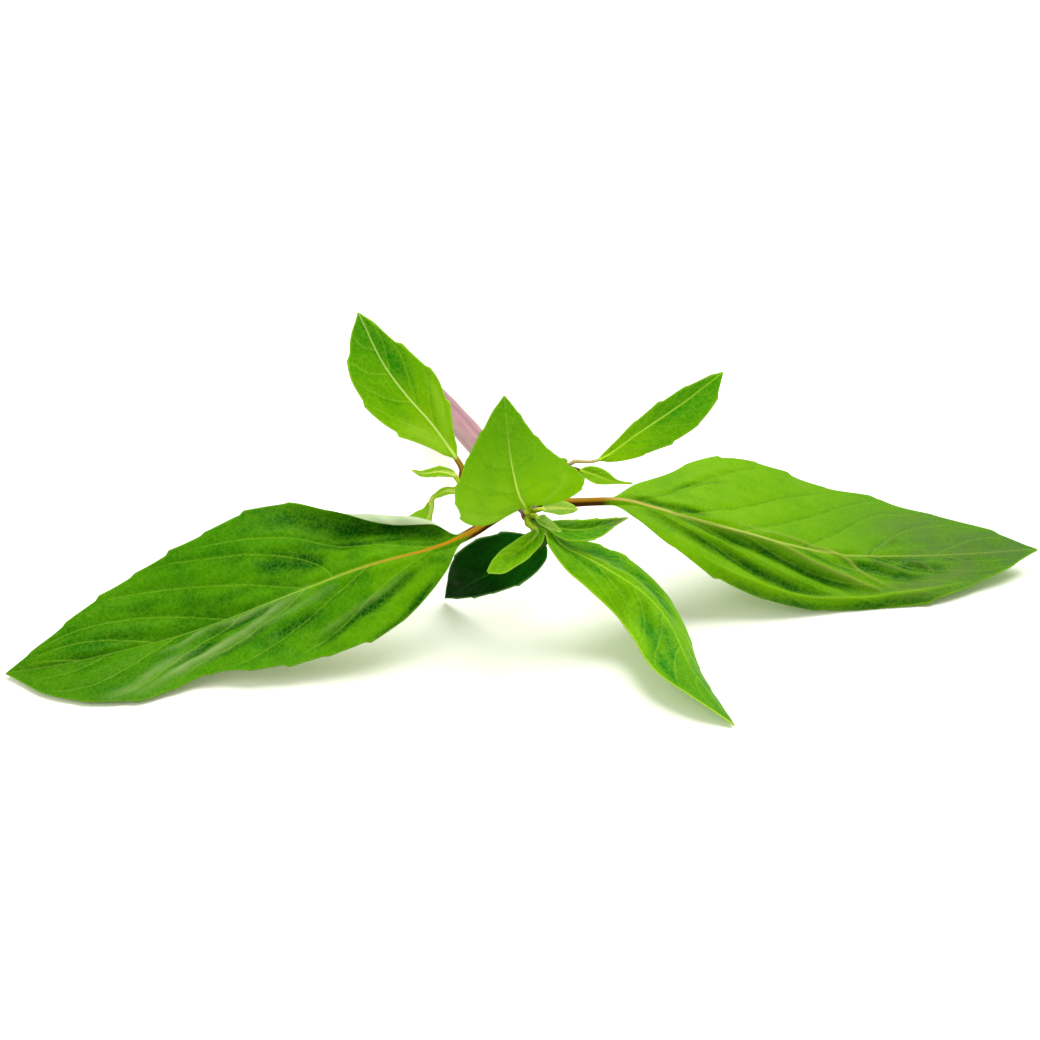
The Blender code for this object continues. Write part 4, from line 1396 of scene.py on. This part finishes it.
    def left_shoot_leaves(self) -> list[Leaf]:
        """Lists the leaves of the left side shoot."""
        return [
            # The bright foot and dark tip paint the fall of light over the blade.
            Leaf("upper_left_leaf", replace(FRESH, foot="a8d400", middle="72ae01", tip="3c8601",
                                            deep="4f9c04", deep_share=0.3, painted_shade_colour="1f7a02",
                                            rib="d4e87a", rib_foot="d8ea80", rib_wide=0.17,
                                            rib_thin=0.07, rib_hold=0.6, vein="b4dc3c",
                                            vein_share=0.25, stalk="9a7a20", stalk_side="8a4018"),
                 route=((-8.2, -3.0, 5.4), (-8.2, -3.0, 6.4), (-9.0, -3.0, 8.0),
                        (-11.9, -2.5, 12.4), (-15.3, -2.0, 16.5), (-18.2, -1.0, 20.6),
                        (-21.0, 0.2, 26.6)),
                 stalk=0.12, stalk_radius=0.36, root=(-7.2, -3.1, 4.3),
                 left=(0.6, 1.7, 2.9, 3.8, 4.5, 4.9, 4.9, 4.6, 3.5, 2.2, 0.1),
                 right=(0.6, 1.4, 2.4, 3.5, 4.3, 4.3, 3.9, 3.2, 2.3, 1.3, 0.1),
                 facing=towards(0.2, -1.0, 0.4),
                 veins_right=((0.04, 0.36, 1.1), (0.22, 0.58, 1.3), (0.38, 0.86, 1.3),
                              (0.62, 1.0, 1.2)),
                 veins_left=((0.06, 0.60, 1.2), (0.40, 0.70, 1.1), (0.60, 0.78, 1.0),
                             (0.76, 0.92, 1.0)),
                 quilt=0.12, tooth_gap=5.2, tooth_shift_left=0.5, tooth_shift_right=0.75,
                 wave=0.2,
                 # Dark patches carry painted shade, light lines painted highlights.
                 lines=(
                     Line(((0.48, -0.20), (0.62, -0.34), (0.76, -0.34), (0.88, -0.26)), 1.1,
                          depth=0.15, dark=0.8),
                     Line(((0.80, 0.35), (0.94, 0.10)), 1.3, dark=0.5),
                     Line(((0.0, 0.30), (0.16, 0.55), (0.34, 0.70)), 1.1, depth=-0.1, light=0.5),
                     Line(((0.10, -0.45), (0.28, -0.70), (0.46, -0.80)), 0.5, depth=-0.1, light=0.4),
                     Line(((0.30, 0.45), (0.46, 0.50), (0.60, 0.45)), 0.9, depth=0.15, dark=0.45),
                 ),
                 seed=10.0, stations=170, columns=30),
            Leaf("hanging_left_leaf", replace(YOUNG, under="e4f0c8", tip="a0d818", middle="a8dc10"),
                 route=((-8.2, -2.6, 3.5), (-10.3, -2.0, 2.7), (-12.0, -1.0, 1.2),
                        (-12.4, 0.6, -1.6), (-13.4, 2.2, -5.0), (-14.8, 3.2, -8.5)),
                 stalk=0.36, stalk_radius=0.32, root=(-7.2, -3.0, 4.2),
                 left=(0.3, 0.3, 0.4, 0.4, 0.3, 0.1), right=(0.3, 1.2, 2.4, 3.0, 2.0, 0.1),
                 facing=towards(0, -1.0, 0.4), quilt=0.05, tooth_gap=2.6, tooth=0.15,
                 wave=0.15, seed=11.0),
            Leaf("curled_left_leaf", YOUNG,
                 route=((-8.4, -4.1, 4.9), (-9.4, -4.4, 6.4), (-11.0, -5.2, 7.2),
                        (-13.0, -6.0, 7.3), (-14.4, -6.5, 8.0)),
                 stalk=0.20, stalk_radius=0.3, root=(-7.4, -3.4, 4.4),
                 left=(0.3, 0.6, 0.7, 0.6, 0.4, 0.1), right=(0.3, 0.5, 0.6, 0.5, 0.3, 0.1),
                 facing=towards(0, -0.8, 0.6), quilt=0.04, tooth_gap=2.0, tooth=0.1,
                 wave=0.2, stations=70, columns=14, seed=12.0),
            Leaf("bud_leaf_left", YOUNG,
                 route=((-8.7, -4.2, 3.8), (-10.2, -4.8, 4.2), (-11.8, -5.0, 3.4)),
                 stalk=0.12, stalk_radius=0.22, root=(-7.6, -3.6, 4.1),
                 left=(0.3, 0.5, 0.5, 0.2),
                 facing=towards(0, -0.8, 0.6), quilt=0.02, tooth=0.0,
                 wave=0.1, stations=50, columns=12, seed=13.0),
        ]

    def right_shoot_leaves(self) -> list[Leaf]:
        """Lists the leaves of the right side shoot."""
        return [
            Leaf("upper_right_leaf", replace(FRESH, foot="8cc000", middle="70ac01", tip="4a9402",
                                             painted_shade_colour="2f8402", rib="a8d83a", rib_foot="b8e02a",
                                             rib_wide=0.12, vein_share=0.12, rim_share=0.3,
                                             stalk="c0a878", stalk_side="a08850"),
                 route=((6.0, -1.9, 6.9), (9.2, -1.7, 7.1), (14.0, 0.0, 9.9),
                        (19.8, 2.0, 13.3), (24.8, 4.0, 16.6)),
                 stalk=0.14, stalk_radius=0.20, root=(5.0, -2.0, 6.3),
                 left=(0.3, 0.9, 1.4, 1.7, 1.8, 1.6, 1.0, 0.1),
                 right=(0.3, 1.9, 2.8, 3.3, 3.5, 3.2, 2.1, 0.1),
                 facing=towards(0, -1.0, 0.5), fold_left=(20, 20), fold_right=(10, 10),
                 quilt=0.08, tooth_gap=4.0, tooth=0.25, wave=0.15,
                 # Dark patches carry painted shade.
                 lines=(
                     Line(((0.40, -0.10), (0.60, -0.14), (0.85, -0.14)), 0.55, depth=0.15, dark=0.8),
                     Line(((0.62, -0.5), (0.85, -0.4)), 1.0, dark=0.3),
                 ),
                 stations=140, columns=24, seed=14.0),
            Leaf("lower_right_leaf", replace(FRESH, foot="8cc000", middle="84b802", tip="74a802",
                                             rib_hold=0.2, rib="a8cc2a", rib_foot="a8cc2a",
                                             rib_wide=0.1, vein_share=0.15,
                                             stalk="5a2410", stalk_side="3a1008"),
                 route=((6.0, -2.8, 6.2), (7.7, -3.4, 6.1), (9.4, -4.2, 5.8),
                        (11.2, -5.0, 5.6), (13.2, -6.0, 5.9)),
                 stalk=0.10, stalk_radius=0.28, root=(5.0, -2.1, 6.1),
                 left=(0.3, 0.9, 1.1, 0.9, 0.4, 0.18, 0.12),
                 right=(0.3, 0.9, 1.1, 0.8, 0.35, 0.18, 0.12),
                 facing=towards(0, -0.8, 0.6), quilt=0.05, tooth=0.0, wave=0.15,
                 stations=70, columns=16, seed=15.0),
            Leaf("back_right_leaf", FRESH,
                 route=((4.6, -0.8, 6.2), (3.0, 0.8, 5.4), (0.8, 2.4, 5.2), (-1.8, 3.6, 4.8)),
                 stalk=0.12, stalk_radius=0.25, root=(5.0, -1.6, 6.1),
                 left=(0.3, 1.4, 1.7, 1.2, 0.1),
                 facing=((0.2, -0.5, 0.8), (0.0, -0.5, 0.8)), quilt=0.06, tooth_gap=2.4, tooth=0.15,
                 wave=0.2, stations=70, columns=16, seed=16.0),
            Leaf("bud_leaf_top", YOUNG,
                 route=((4.9, -2.6, 6.9), (4.5, -3.1, 7.5), (4.0, -3.5, 8.1)),
                 stalk=0.12, stalk_radius=0.20, root=(5.0, -2.1, 6.2),
                 left=(0.3, 0.6, 0.5, 0.2),
                 facing=towards(0, -1.0, 0.2), quilt=0.02, tooth=0.0,
                 wave=0.1, stations=40, columns=12, seed=17.0),
        ]

    def leaves(self) -> dict[Shoot, list[Leaf]]:
        """Lists the leaves by the shoot that they grow from."""
        return {Shoot.MAIN: self.large_leaves(), Shoot.TIP: self.tip_leaves(),
                Shoot.LEFT: self.left_shoot_leaves(), Shoot.RIGHT: self.right_shoot_leaves()}

    def grow(self) -> None:
        """Builds every stem and leaf."""
        for stem in self.stems():
            stem.grow()
        for shoot, leaves in self.leaves().items():
            log.info("leaves of the %s", shoot.value)
            for leaf in leaves:
                leaf.grow()


# ---------------------------------------------------------------- the studio


@dataclass(frozen=True)
class Light:
    """One soft box, aimed at the plant."""

    name: str
    place: tuple              # metres from the main node
    size: float               # metres across
    power: float              # watts
    colour: tuple


@dataclass
class Studio:
    """A white table top, soft light and the camera."""

    floor_size: float = 3.0              # metres
    lens: float = 120.0                  # mm, on a frame 36 mm wide
    distance: float = 0.443              # metres from the main node
    elevation: float = 28.0              # degrees that the camera looks down
    aim: tuple = (-0.0009, -0.0022)      # metres that the camera stands right of and above the node
    sky: float = 0.66                    # brightness of the room
    lights: tuple = (
        Light("key_light", (0.26, 0.22, 0.80), 0.90, 10.8, (1.0, 0.99, 1.12)),
        Light("fill_light", (-0.55, -0.50, 0.55), 0.60, 2.2, (0.99, 1.0, 1.0)),
    )

    def node_place(self) -> Vector:
        """Gives the main node's place, in metres."""
        return Vector(in_frame(np.zeros(3)).tolist())

    def set_up(self) -> None:
        """Builds the floor, the lights, the sky and the camera."""
        self.lay_floor()
        self.hang_lights()
        self.place_camera()

    def lay_floor(self) -> None:
        """Lays a plain white floor at height zero."""
        half = self.floor_size / 2
        mesh = bpy.data.meshes.new("floor")
        mesh.from_pydata([(-half, -half, 0), (half, -half, 0), (half, half, 0), (-half, half, 0)],
                         [], [(0, 1, 2, 3)])
        floor = bpy.data.objects.new("floor", mesh)
        bpy.context.scene.collection.objects.link(floor)
        g = Graph("white_table")
        mesh.materials.append(g.finish(g.node("ShaderNodeBsdfPrincipled", {}, {
            "Base Color": (0.93, 0.94, 0.80, 1.0), "Roughness": 0.7})))

    def hang_lights(self) -> None:
        """Hangs the soft boxes and sets the sky."""
        node = self.node_place()
        for light in self.lights:
            data = bpy.data.lights.new(light.name, "AREA")
            data.shape = "DISK"
            data.size = light.size
            data.energy = light.power
            data.color = light.colour
            lamp = bpy.data.objects.new(light.name, data)
            lamp.location = node + Vector(light.place)
            lamp.rotation_euler = Vector(light.place).to_track_quat("Z", "Y").to_euler()
            bpy.context.scene.collection.objects.link(lamp)
        world = bpy.data.worlds.new("pale_room")
        world.use_nodes = True
        background = world.node_tree.nodes["Background"]
        background.inputs["Color"].default_value = (1.0, 1.0, 0.92, 1.0)
        background.inputs["Strength"].default_value = self.sky
        bpy.context.scene.world = world

    def place_camera(self) -> None:
        """Looks down at the plant from its growing tip."""
        elevation = np.radians(self.elevation)
        back = Vector((0.0, -np.cos(elevation), np.sin(elevation)))
        up = Vector((0.0, np.sin(elevation), np.cos(elevation)))
        right = Vector((1.0, 0.0, 0.0))
        data = bpy.data.cameras.new("camera")
        data.lens = self.lens
        data.sensor_width = 36.0
        data.clip_start = 0.01
        data.clip_end = 10.0
        camera = bpy.data.objects.new("camera", data)
        across, lift = self.aim
        place = self.node_place() + back * self.distance + right * across + up * lift
        camera.matrix_world = Matrix.Translation(place) @ Matrix(
            (right, up, back)).transposed().to_4x4()
        bpy.context.scene.collection.objects.link(camera)
        bpy.context.scene.camera = camera
        bpy.context.scene.view_settings.view_transform = "Standard"
        bpy.context.scene.view_settings.look = "None"


def main() -> None:
    """Builds the plant and the studio."""
    logging.basicConfig(level=logging.INFO, format="%(name)s: %(message)s")
    Sprig().grow()
    Studio().set_up()
    bpy.context.view_layer.update()


if __name__ == "__main__":
    main()
